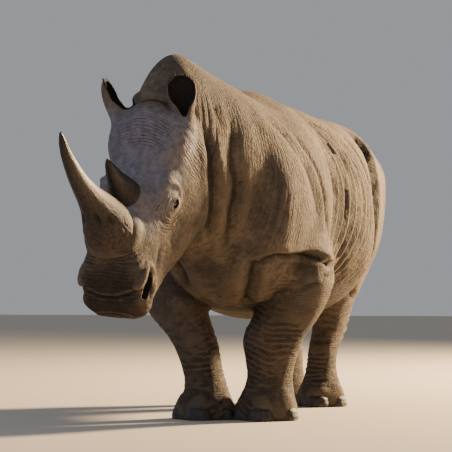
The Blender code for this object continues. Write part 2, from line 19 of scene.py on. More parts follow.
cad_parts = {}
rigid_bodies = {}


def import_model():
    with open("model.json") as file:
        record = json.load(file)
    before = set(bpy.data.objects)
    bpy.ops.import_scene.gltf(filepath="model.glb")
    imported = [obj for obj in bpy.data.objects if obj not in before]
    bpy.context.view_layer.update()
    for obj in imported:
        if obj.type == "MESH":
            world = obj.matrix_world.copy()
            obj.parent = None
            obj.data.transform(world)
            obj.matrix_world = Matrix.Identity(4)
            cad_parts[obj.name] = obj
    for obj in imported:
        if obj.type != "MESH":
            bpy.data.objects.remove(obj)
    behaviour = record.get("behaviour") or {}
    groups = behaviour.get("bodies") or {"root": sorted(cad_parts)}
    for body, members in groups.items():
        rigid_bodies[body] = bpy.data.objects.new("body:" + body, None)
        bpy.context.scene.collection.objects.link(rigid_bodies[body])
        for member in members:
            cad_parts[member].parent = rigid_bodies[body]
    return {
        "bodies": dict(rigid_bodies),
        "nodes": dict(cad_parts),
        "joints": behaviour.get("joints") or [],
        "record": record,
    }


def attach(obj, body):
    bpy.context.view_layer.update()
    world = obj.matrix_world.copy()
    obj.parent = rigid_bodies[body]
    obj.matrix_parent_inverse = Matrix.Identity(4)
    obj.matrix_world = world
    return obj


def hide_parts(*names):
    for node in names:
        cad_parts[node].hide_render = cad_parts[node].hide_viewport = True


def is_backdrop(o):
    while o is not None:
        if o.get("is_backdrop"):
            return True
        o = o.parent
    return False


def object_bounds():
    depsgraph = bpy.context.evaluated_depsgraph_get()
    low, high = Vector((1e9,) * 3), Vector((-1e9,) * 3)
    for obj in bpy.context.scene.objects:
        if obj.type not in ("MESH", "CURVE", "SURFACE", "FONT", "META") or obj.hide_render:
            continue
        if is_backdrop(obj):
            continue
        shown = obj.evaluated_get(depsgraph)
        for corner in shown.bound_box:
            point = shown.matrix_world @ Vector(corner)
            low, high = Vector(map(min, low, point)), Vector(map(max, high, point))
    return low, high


LOG = logging.getLogger("rhinoceros")
Array = np.ndarray
Place = tuple[float, float, float]

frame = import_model()
SHIFT = np.array([-0.00115, 0.5351, 0.0])
LEFT = np.array([1.0, 0.0, 0.0])
FORWARD = np.array([0.0, -1.0, 0.0])
UP = np.array([0.0, 0.0, 1.0])
FAR = 9.0
SIDES = (1, -1)


class Section(NamedTuple):
    """One cross-section of a loft: a superellipse with its own height above and below its widest line."""

    at: float
    shift: float
    top: float
    middle: float
    bottom: float
    half: float
    power: float = 2.2


@dataclass(frozen=True)
class Frame:
    """Right-handed axes at a point: along a form, across it, and out of its back."""

    origin: Array
    along: Array
    across: Array
    rise: Array

    @property
    def axes(self) -> Array:
        """The three axes as rows."""
        return np.array([self.along, self.across, self.rise])

    def point(self, local: Sequence[float] | Array) -> Array:
        """Places given along the axes, in the table frame."""
        return self.origin + np.asarray(local, float) @ self.axes

    def local(self, points: Array) -> Array:
        """Places in the table frame, given along the axes."""
        return (points - self.origin) @ self.axes.T


def head_frame(yaw: float, pitch: float, tilt: float, poll: Sequence[float]) -> Frame:
    """The head's axes: from the poll to the muzzle, to the animal's left, and out of the forehead.

    Args:
        yaw: Turn to the animal's right.
        pitch: Turn downward.
        tilt: Lean of the crown to the left.
        poll: Where the head hangs from.

    Returns:
        The frame.
    """
    ahead = cos(yaw) * FORWARD - sin(yaw) * LEFT
    left = cos(yaw) * LEFT + sin(yaw) * FORWARD
    across = cos(tilt) * left - sin(tilt) * UP
    crown = cos(tilt) * UP + sin(tilt) * left
    along = cos(pitch) * ahead - sin(pitch) * crown
    rise = sin(pitch) * ahead + cos(pitch) * crown
    return Frame(np.array(poll), along, across, rise)


BODY = Frame(np.zeros(3), FORWARD, LEFT, UP)
HEAD = head_frame(radians(10), radians(58), radians(4), (-0.180, -1.545, 1.520))
LEFT_LEG = Frame(np.zeros(3), UP, LEFT, FORWARD)
RIGHT_LEG = Frame(np.zeros(3), UP, -LEFT, FORWARD)


def sided(place: Sequence[float] | Array, side: int) -> Array:
    """A place along, across and out of a form, on its left side for 1 and its right for -1."""
    return np.asarray(place, float) * (1, side, 1)


def unit(rows: Array) -> Array:
    """Each row set to length 1."""
    return rows / np.linalg.norm(rows, axis=-1, keepdims=True)


def smooth_curve(at: Array, places: Sequence[float], values: Sequence[float]) -> Array:
    """A smooth curve through pairs of place and value.

    Between two places the value is a cubic Hermite piece, its slopes the weighted means of the steps beside
    it, so the curve has no corners.

    Args:
        at: Where to read it; outside the places it holds its end values.
        places: Rising places.
        values: The value at each place.

    Returns:
        The values read.
    """
    places, values = np.asarray(places, float), np.asarray(values, float)
    step = np.diff(places)
    slope = np.diff(values) / step
    inner = (slope[:-1] * step[1:] + slope[1:] * step[:-1]) / (step[1:] + step[:-1])
    tangent = np.concatenate([slope[:1], inner, slope[-1:]])
    at = np.clip(at, places[0], places[-1])
    piece = np.clip(np.searchsorted(places, at) - 1, 0, len(step) - 1)
    width = step[piece]
    t = (at - places[piece]) / width
    start = (2 * t**3 - 3 * t**2 + 1) * values[piece] + (t**3 - 2 * t**2 + t) * width * tangent[piece]
    end = (3 * t**2 - 2 * t**3) * values[piece + 1] + (t**3 - t**2) * width * tangent[piece + 1]
    return start + end


def fade(low: float, high: float, value: Array) -> Array:
    """A smooth step: 0 up to low, 1 from high, and 3t squared less 2t cubed between."""
    t = np.clip((value - low) / (high - low), 0, 1)
    return t * t * (3 - 2 * t)


def window(value: Array, low: float, high: float, soft: float) -> Array:
    """1 between low and high, fading to 0 over the soft width outside them."""
    return fade(low - soft, low, value) * (1 - fade(high, high + soft, value))


def soft_min(first: Array, second: Array, blend: Array | float) -> Array:
    """The smaller of two distances, rounded where they differ by less than blend (a polynomial fillet)."""
    share = np.clip(0.5 + 0.5 * (second - first) / blend, 0, 1)
    return second * (1 - share) + first * share - blend * share * (1 - share)


def hashed(lattice: Array, seed: int) -> Array:
    """A fixed number from 0 to 1 for each whole-number point, by multiplying and mixing its bits."""
    x, y, z = np.moveaxis(lattice.astype(np.int64), -1, 0)
    mixed = x * 73856093 ^ y * 19349663 ^ z * 83492791 ^ (seed * 2654435761)
    mixed = (mixed ^ (mixed >> 13)) * 1274126177
    return ((mixed ^ (mixed >> 16)) & 0xFFFF) / 65535.0


def noise(points: Array, size: float, seed: int = 0) -> Array:
    """Smooth lattice noise from -1 to 1.

    Each cell of the given size has a fixed value at its corners, and the value inside is their mix with the
    weights 6t^5 - 15t^4 + 10t^3 on each axis.

    Args:
        points: Places, one row each.
        size: Cell size in metres.
        seed: Which noise.

    Returns:
        One value a place.
    """
    scaled = points / size
    corner = np.floor(scaled)
    t = scaled - corner
    t = t * t * t * (t * (t * 6 - 15) + 10)
    total = np.zeros(len(points))
    for dx, dy, dz in np.ndindex(2, 2, 2):
        weight = np.abs(1 - dx - t[:, 0]) * np.abs(1 - dy - t[:, 1]) * np.abs(1 - dz - t[:, 2])
        total += weight * hashed(corner + (dx, dy, dz), seed)
    return 2 * total - 1


def layered(points: Array, size: float, layers: int, seed: int = 0) -> Array:
    """Noise in layers, each half the size and half the height of the one before."""
    total, height = np.zeros(len(points)), 1.0
    for layer in range(layers):
        total += height * noise(points, size / 2**layer, seed + layer)
        height /= 2
    return total / 2


def pleats(
    value: Array, pitch: float, places: Array, seed: int, sharpness: float = 0.65, loose: float = 1.0
) -> Array:
    """Rounded folds with narrow valleys, wandering and broken up as in real hide.

    The fold is |sin(pi s)| to a power, where s is the value over the pitch plus two noises. Below 1 the power
    gives narrow valleys, and above 1 narrow ridges. The height is then multiplied by a patchy noise.

    Args:
        value: What the folds count along, in metres.
        pitch: From one valley to the next.
        places: Where they are, for the wandering.
        seed: Which wandering.
        sharpness: The power.
        loose: How much of the wandering there is.

    Returns:
        Heights from about -1 to 0.5.
    """
    wander = 0.75 * layered(places, 6 * pitch, 2, seed) + 0.35 * noise(places, 2.2 * pitch, seed + 2)
    wave = np.abs(np.sin(pi * (value / pitch + loose * wander))) ** sharpness - 0.72
    return wave * (0.25 + 1.25 * fade(-0.55, 0.55, noise(places, 4.5 * pitch, seed + 3)))


class Form:
    """A distance field with the box it reaches."""

    blend: float = 0.05
    low: Array
    high: Array

    def distance(self, points: Array) -> Array:
        """Roughly how far each place is outside the form."""
        raise NotImplementedError


class Loft(Form):
    """A form through superelliptic sections along a straight axis.

    At a section's own angle, the rim is where (|across| / half)^power + (|rise| / reach)^power is 1. The
    distance is the radius times one less the inverse of that sum's root, and grows past either end.
    """

    STEPS = 500
    THINNEST = 0.004

    def __init__(self, frame: Frame, sections: Sequence[Section], blend: float) -> None:
        self.frame, self.blend = frame, blend
        table = np.array(sections, float)
        self.start, self.stop = table[0, 0], table[-1, 0]
        at = np.linspace(self.start, self.stop, self.STEPS)
        self.table = np.array([smooth_curve(at, table[:, 0], table[:, i]) for i in range(1, 7)])
        across = self.table[0, :, None] + self.table[4, :, None] * np.array([-1, 1, -1, 1])
        rise = np.stack([self.table[1], self.table[1], self.table[3], self.table[3]], -1)
        corners = np.stack([np.broadcast_to(at[:, None], across.shape), across, rise], -1).reshape(-1, 3)
        world = frame.point(corners)
        self.low, self.high = world.min(0), world.max(0)

    def section(self, at: Array) -> Array:
        """The loft's shift, top, middle, bottom, half and power at each place along it."""
        each = (self.STEPS - 1) / (self.stop - self.start)
        place = (np.clip(at, self.start, self.stop) - self.start) * each
        low = np.minimum(place.astype(int), self.STEPS - 2)
        part = place - low
        return self.table[:, low] * (1 - part) + self.table[:, low + 1] * part

    def distance(self, points: Array) -> Array:
        """Roughly how far each place is outside the loft."""
        at, across, rise = self.frame.local(points).T
        shift, top, middle, bottom, half, power = self.section(at)
        side, lift = across - shift, rise - middle
        reach = np.where(lift >= 0, top - middle, middle - bottom)
        half, reach = np.maximum(half, self.THINNEST), np.maximum(reach, self.THINNEST)
        ratio = ((np.abs(side) / half) ** power + (np.abs(lift) / reach) ** power) ** (1 / power)
        least = -np.minimum(half, reach)
        ring = np.maximum(np.hypot(side, lift) * (1 - 1 / np.maximum(ratio, 1e-4)), least)
        over = np.maximum(self.start - at, at - self.stop)
        beyond = np.hypot(np.maximum(ring, 0), np.maximum(over, 0))
        return np.where(over > 0, beyond, np.maximum(ring, over))


class Ball(Form):
    """An ellipsoid: the radius times one less the inverse of the scaled radius."""

    def __init__(self, frame: Frame, centre: Sequence[float], halves: Sequence[float], blend: float) -> None:
        self.frame, self.centre, self.halves, self.blend = frame, np.array(centre), np.array(halves), blend
        reach = np.abs(frame.axes.T) @ self.halves
        self.low, self.high = frame.point(self.centre) - reach, frame.point(self.centre) + reach

    def distance(self, points: Array) -> Array:
        """Roughly how far each place is outside the ellipsoid."""
        local = self.frame.local(points) - self.centre
        scaled = np.sqrt(((local / self.halves) ** 2).sum(1))
        radius = np.sqrt((local**2).sum(1))
        return np.maximum(radius * (1 - 1 / np.maximum(scaled, 1e-4)), -self.halves.min())


class Rope(Form):
    """A round form along a path of joined straight runs, its radius changing evenly along each run."""

    def __init__(self, path: Array, radii: Sequence[float], blend: float) -> None:
        self.path, self.radii, self.blend = np.asarray(path, float), np.asarray(radii, float), blend
        reach = self.radii.max()
        self.low, self.high = self.path.min(0) - reach, self.path.max(0) + reach

    def distance(self, points: Array) -> Array:
        """The least distance to any run, less the radius there."""
        best = np.full(len(points), FAR)
        for start, stop, first, last in zip(self.path[:-1], self.path[1:], self.radii[:-1], self.radii[1:]):
            run = stop - start
            t = np.clip((points - start) @ run / (run @ run), 0, 1)
            gap = np.linalg.norm(points - start - t[:, None] * run, axis=1)
            best = np.minimum(best, gap - (first + (last - first) * t))
        return best


@dataclass(frozen=True)
class Crease:
    """A groove along a line on the skin, with a roll beside it and, where skin overlaps, a step across it.

    With d the distance to the line and w its width, the height is -depth exp(-(d/w)^2), plus roll times depth
    exp(-((d - 2.2w) / 1.3w)^2), plus step tanh(s / 0.6w) exp(-d / 5w), where s is positive on the over side.
    """

    path: tuple[Place, ...]
    depth: float = 0.008
    width: float = 0.012
    roll: float = 0.35
    step: float = 0.0
    over: Place = (0.0, 0.0, 1.0)
    both: bool = False
    ease: tuple[float, float] = (0.2, 0.2)

    # How strongly a stepped fold's wall is darkened as painted shade, for each metre of step.
    SHADE_PER_STEP = 45

    def lines(self, flesh: "Flesh", frame: Frame) -> list[Array]:
        """The path as smooth lines of points on the skin, with its mirror image if it is on both sides."""
        knots = np.array(self.path, float)
        fine = np.linspace(0, len(knots) - 1, 6 * (len(knots) - 1) + 1)
        line = np.stack([smooth_curve(fine, np.arange(len(knots)), knots[:, i]) for i in range(3)], -1)
        sides = SIDES if self.both else (1,)
        return [frame.local(flesh.settle(frame.point(sided(line, side)), 9)) for side in sides]

    def height(self, places: Array, line: Array, fold_shade: Array) -> Array:
        """How far the skin moves out at each place.

        Args:
            places: Places in the same axes as the line.
            line: Points along the groove.
            fold_shade: Where the painted shade on the fold's wall is noted, if it has a step.

        Returns:
            Metres outward, below zero in the groove.
        """
        reach = 14 * self.width if self.step else 5 * self.width
        near = ((places > line.min(0) - reach) & (places < line.max(0) + reach)).all(1)
        total = np.zeros(len(places))
        if not near.any():
            return total
        here = places[near]
        gap, share, side = np.full(len(here), FAR), np.zeros(len(here)), np.zeros(len(here))
        over = np.array(self.over)
        for index, (start, stop) in enumerate(zip(line[:-1], line[1:])):
            run = stop - start
            t = np.clip((here - start) @ run / (run @ run), 0, 1)
            offset = here - start - t[:, None] * run
            distance = np.linalg.norm(offset, axis=1)
            closer = distance < gap
            gap = np.where(closer, distance, gap)
            share = np.where(closer, (index + t) / (len(line) - 1), share)
            side = np.where(closer, offset @ over, side)
        w = self.width
        taper = fade(0, self.ease[0], share) * (1 - fade(1 - self.ease[1], 1, share))
        groove = -self.depth * np.exp(-((gap / w) ** 2))
        swell = self.roll * self.depth * np.exp(-(((gap - 2.2 * w) / (1.3 * w)) ** 2))
        shelf = self.step * np.tanh(side / (0.6 * w)) * np.exp(-gap / (5 * w))
        total[near] = taper * (groove + swell + shelf)
        # Painted shade: the stepped fold's wall is marked to be darkened in colour, where its shadow falls.
        if self.step:
            earth_and_shade = min(1, self.SHADE_PER_STEP * self.step) * taper * np.exp(-((gap / (1.5 * w)) ** 2))
            fold_shade[near] = np.maximum(fold_shade[near], earth_and_shade)
        return total


@dataclass(frozen=True)
class Torso:
    """The trunk and neck, with the ribs of the flank and the folds of throat and brisket."""

    trunk: tuple[Section, ...] = (
        Section(-1.25, 0, 1.22, 1.12, 1.00, 0.06, 2.0),
        Section(-1.22, 0, 1.34, 1.13, 0.90, 0.165, 2.1),
        Section(-1.13, 0, 1.45, 1.15, 0.78, 0.285, 2.25),
        Section(-0.95, 0, 1.545, 1.14, 0.67, 0.396, 2.4),
        Section(-0.72, 0, 1.590, 1.10, 0.59, 0.462, 2.4),
        Section(-0.50, 0, 1.594, 1.04, 0.56, 0.484, 2.3),
        Section(-0.28, 0, 1.594, 1.00, 0.53, 0.488, 2.25),
        Section(-0.10, 0, 1.593, 0.96, 0.49, 0.532, 2.2),
        Section(0.12, 0, 1.600, 0.95, 0.485, 0.553, 2.15),
        Section(0.30, 0, 1.608, 0.96, 0.49, 0.532, 2.15),
        Section(0.48, 0, 1.615, 0.98, 0.51, 0.485, 2.1),
        Section(0.74, 0, 1.585, 1.02, 0.545, 0.415, 2.1),
        Section(0.95, 0, 1.50, 1.05, 0.59, 0.385, 2.1),
        Section(1.10, 0, 1.38, 1.05, 0.67, 0.300, 2.05),
        Section(1.18, 0, 1.22, 1.03, 0.82, 0.140, 2.0),
    )
    neck: tuple[Section, ...] = (
        Section(0.50, 0.00, 1.57, 1.05, 0.68, 0.38, 2.1),
        Section(0.85, -0.02, 1.605, 1.09, 0.69, 0.385, 2.0),
        Section(1.00, -0.04, 1.645, 1.12, 0.71, 0.365, 1.9),
        Section(1.15, -0.080, 1.690, 1.15, 0.76, 0.325, 1.8),
        Section(1.27, -0.115, 1.735, 1.19, 0.83, 0.270, 1.75),
        Section(1.36, -0.135, 1.751, 1.24, 0.92, 0.225, 1.75),
        Section(1.44, -0.150, 1.715, 1.28, 1.00, 0.190, 1.8),
        Section(1.51, -0.165, 1.60, 1.28, 1.06, 0.155, 1.9),
        Section(1.57, -0.175, 1.45, 1.27, 1.10, 0.100, 2.0),
    )
    hump: tuple[Place, Place] = ((0.60, 0.0, 1.55), (0.20, 0.15, 0.085))
    rib_pitch: float = 0.064
    rib_height: float = 0.0160

    def forms(self) -> list[Form]:
        """The two lofts and the hump over the withers."""
        hump = Ball(BODY, *self.hump, 0.06)
        return [Loft(BODY, self.trunk, 0.06), Loft(BODY, self.neck, 0.06), hump]

    def bent(self, places: Array) -> Array:
        """The distance forward, bent back above and below the middle of the flank as the ribs are."""
        ahead, _, high = places.T
        return ahead - np.where(high > 1.26, 1.9, 0.8) * (high - 1.26) ** 2

    def relief(self, places: Array) -> Array:
        """The folds' height at places given forward, left and up.

        The ribs are pleats of the bent forward distance, lightly shuffled, between the shoulder and the hip.
        The throat's and the brisket's are uneven pleats of the distance along them.

        Args:
            places: Forward, left and up of each place.

        Returns:
            Metres outward.
        """
        ahead, left, high = places.T
        bend, side = self.bent(places), np.abs(left)
        tall = places * (1.0, 1.0, 0.22)
        flank = window(bend, -0.20, 0.50, 0.07) * window(high, 0.74, 1.44, 0.14) * fade(0.10, 0.30, side)
        total = self.rib_height * flank * pleats(bend, self.rib_pitch, tall, 3, 1.6, 0.8)
        throat = window(ahead, 1.02, 1.42, 0.08) * (1 - fade(1.45, 1.62, high))
        total += 0.0030 * throat * pleats(ahead + 0.16 * (high - 1.2), 0.036, tall, 17)
        brisket = window(ahead, 0.80, 1.30, 0.10) * (1 - fade(0.95, 1.12, high))
        brisket *= 1 - fade(0.16, 0.28, side)
        rows = high + 0.25 * ahead + 0.35 * side
        total += 0.0050 * brisket * pleats(rows, 0.030, places * (1, 0.5, 1), 21)
        return total

    def lines(self, places: Array) -> tuple[Array, Array]:
        """The fine wrinkles drawn by the finish: what they count along in metres, and their depth in metres.

        Args:
            places: Forward, left and up of each place.

        Returns:
            Three values a place: upright over the flank, level round the legs, and slanted on the neck.
        """
        ahead, _, high = places.T
        flank = window(ahead, -1.0, 1.0, 0.15) * window(high, 0.66, 1.5, 0.15)
        legs = window(high, 0.12, 0.62, 0.08)
        neck = window(ahead, 0.95, 1.44, 0.08) * (1 - fade(1.50, 1.66, high)) * fade(0.62, 0.75, high)
        counted = np.stack([self.bent(places), high + 0.06 * ahead, ahead + 0.16 * (high - 1.2)], -1)
        return counted, np.stack([0.0012 * flank, 0.0020 * legs, 0.0019 * neck], -1)


@dataclass(frozen=True)
class Leg:
    """A leg on one side: its loft from sole to hip or shoulder, its three toes and its ring wrinkles."""

    side: int
    sole: tuple[float, float]
    toe_ring: tuple[float, float]
    toes: tuple[tuple[float, float], ...] = ((0.0, 0.062), (radians(66), 0.048), (radians(-66), 0.048))
    wrinkles: tuple[tuple[float, float, float, float], ...] = ()
    swellings: tuple[tuple[Place, Place], ...] = ()

    @property
    def frame(self) -> Frame:
        """Up, outward and forward."""
        return LEFT_LEG if self.side > 0 else RIGHT_LEG

    def sections(self) -> list[Section]:
        """The loft's sections from the sole up."""
        raise NotImplementedError

    def toe(self, bearing: float) -> Frame:
        """Axes at the middle of the sole, turned to a toe: outward, sideways and up."""
        ahead, out = self.sole
        outward = cos(bearing) * FORWARD + sin(bearing) * LEFT
        return Frame(ahead * FORWARD + self.side * out * LEFT, outward, np.cross(UP, outward), UP)

    def reach(self, bearing: float) -> float:
        """How far from the middle of the sole a toe's own middle stands."""
        long, wide = self.toe_ring
        rim = 1 / sqrt((cos(bearing) / long) ** 2 + (sin(bearing) / wide) ** 2)
        return rim - (0.048 if bearing else 0.035)

    def forms(self) -> list[Form]:
        """The loft, the toes and the joint's swelling."""
        made: list[Form] = [Loft(self.frame, self.sections(), 0.05)]
        for bearing, half in self.toes:
            place = (self.reach(bearing), 0, 0.045)
            made.append(Ball(self.toe(bearing), place, (0.060, 1.05 * half, 0.085), 0.020))
        return made + [Ball(self.frame, centre, halves, 0.06) for centre, halves in self.swellings]

    def relief(self, places: Array) -> Array:
        """Ring wrinkles round the leg, as uneven pleats of height.

        Args:
            places: Forward, left and up of each place.

        Returns:
            Metres outward.
        """
        ahead, left, high = places.T
        offset = ahead - self.sole[0]
        mine = fade(-0.01, 0.02, self.side * left) * window(offset, -0.34, 0.34, 0.06)
        total = np.zeros(len(places))
        for low, top, pitch, height in self.wrinkles:
            folds = pleats(high + 0.05 * offset, pitch, places, 31)
            total += height * mine * window(high, low, top, 0.05) * folds
        return total


@dataclass(frozen=True)
class Foreleg(Leg):
    """A foreleg; splay leans the forearm out, brace widens it inward and girth its shin."""

    splay: float = 0.08
    brace: float = 0.04
    girth: float = 1.0

    def sections(self) -> list[Section]:
        """The loft's sections from the sole to the shoulder."""
        (ahead, out), wide = self.sole, self.brace / 2
        rows = [
            (-0.04, out, 0.150, 0, -0.143, 0.136),
            (0.05, out, 0.155, 0, -0.145, 0.146),
            (0.12, out, 0.135, -0.005, -0.130, 0.130 * self.girth),
            (0.20, out + 0.10 * self.splay, 0.110, -0.010, -0.120, 0.112 * self.girth),
            (0.30, out + 0.30 * self.splay - wide / 2, 0.115, -0.010, -0.120, 0.115 * self.girth + wide / 2),
            (0.40, out + 0.60 * self.splay - wide, 0.125, -0.010, -0.130, 0.130 * self.girth + wide),
            (0.52, out + 0.05 + 0.80 * self.splay - wide, 0.125, -0.020, -0.150, 0.145 + wide),
            (0.66, out + 0.09 + 0.80 * self.splay, 0.130, -0.035, -0.200, 0.162),
            (0.80, out + 0.115 + 0.40 * self.splay, 0.140, -0.060, -0.270, 0.156),
        ]
        lower = [
            Section(at, x, ahead + top, ahead + middle, ahead + back, half)
            for at, x, top, middle, back, half in rows
        ]
        return lower + [
            Section(0.95, 0.272, 0.86, 0.63, 0.38, 0.164),
            Section(1.12, 0.264, 0.88, 0.62, 0.36, 0.163),
            Section(1.30, 0.242, 0.86, 0.62, 0.38, 0.145, 2.1),
            Section(1.45, 0.210, 0.80, 0.60, 0.40, 0.120, 2.0),
            Section(1.54, 0.170, 0.70, 0.58, 0.46, 0.060, 2.0),
        ]


@dataclass(frozen=True)
class Hindleg(Leg):
    """A hind leg; its lower half goes with the sole and its thigh with the hip."""

    hip: float = -0.80

    def sections(self) -> list[Section]:
        """The loft's sections from the sole to the hip."""
        (ahead, out), hip = self.sole, self.hip

        def middle(height: float) -> float:
            """The leg's middle, forward, at a height."""
            share = max(0.0, 1 - height / 0.95)
            return hip * (1 - share) + ahead * share

        rows = [
            (-0.04, out, ahead, 0.130, 0, -0.122, 0.119, 2.2),
            (0.05, out, ahead, 0.135, 0, -0.125, 0.127, 2.2),
            (0.12, out - 0.005, ahead, 0.112, -0.01, -0.115, 0.104, 2.2),
            (0.20, out - 0.010, ahead, 0.070, -0.03, -0.120, 0.083, 2.2),
            (0.30, out - 0.005, ahead, 0.045, -0.05, -0.145, 0.080, 2.2),
            (0.42, out + 0.010, middle(0.42), 0.080, -0.05, -0.200, 0.090, 2.2),
            (0.54, out + 0.025, middle(0.54), 0.130, -0.03, -0.210, 0.107, 2.2),
            (0.68, out + 0.055, middle(0.68), 0.210, 0, -0.230, 0.136, 2.2),
            (0.82, 0.205, hip, 0.280, 0, -0.270, 0.168, 2.2),
            (0.98, 0.224, hip, 0.300, 0, -0.330, 0.180, 2.2),
            (1.15, 0.245, hip, 0.270, 0, -0.340, 0.195, 2.2),
            (1.32, 0.245, hip, 0.220, -0.02, -0.270, 0.180, 2.1),
            (1.46, 0.190, hip, 0.140, -0.04, -0.200, 0.110, 2.0),
        ]
        return [
            Section(at, x, y + top, y + mid, y + back, half, power)
            for at, x, y, top, mid, back, half, power in rows
        ]


@dataclass(frozen=True)
class Ear:
    """A rolled ear: an outer loft from base to tip, and the hollow it opens with."""

    place: Place
    tip: Place
    opening: Place
    rows: tuple[tuple[float, float, float, float], ...] = (
        (-0.050, 0.040, 0.032, -0.038),
        (0.000, 0.044, 0.036, -0.042),
        (0.045, 0.053, 0.038, -0.046),
        (0.095, 0.064, 0.034, -0.048),
        (0.140, 0.070, 0.026, -0.044),
        (0.175, 0.063, 0.014, -0.036),
        (0.200, 0.042, 0.002, -0.026),
        (0.216, 0.014, -0.008, -0.018),
    )
    mouth: float = 0.006
    length: float = 1.0

    @property
    def frame(self) -> Frame:
        """From the base to the tip, across the ear, and out of its opening."""
        along = unit(np.array(self.tip))
        rise = unit(np.array(self.opening) - np.array(self.opening) @ along * along)
        return Frame(HEAD.point(self.place), along, np.cross(rise, along), rise)

    def outer(self) -> Loft:
        """The ear's outside."""
        rows = [
            Section(at * self.length, 0, front, (front + back) / 2, back, half, 2.0)
            for at, half, front, back in self.rows
        ]
        return Loft(self.frame, rows, 0.035)

    def hollow(self, wall: float) -> Loft:
        """The room inside the ear, for a wall of that thickness."""
        rows = []
        for at, half, front, back in self.rows:
            if 0.04 < at < 0.19:
                floor = back + wall + 0.006 * (0.19 - at) / 0.15
                inner = (half - wall) * fade(-0.03, 0.10, at)
                middle = back + 0.45 * (front - back)
                rows.append(Section(at * self.length, 0, front + 0.10, middle, floor, inner, 2.0))
        first, last = rows[0], rows[-1]
        low = first._replace(at=self.mouth, half=0.010, top=first.top - 0.02, bottom=first.bottom + 0.03)
        high = last._replace(at=0.216 * self.length - wall, half=0.020, bottom=last.bottom + 0.014)
        return Loft(self.frame, [low, *rows, high], 0.012)


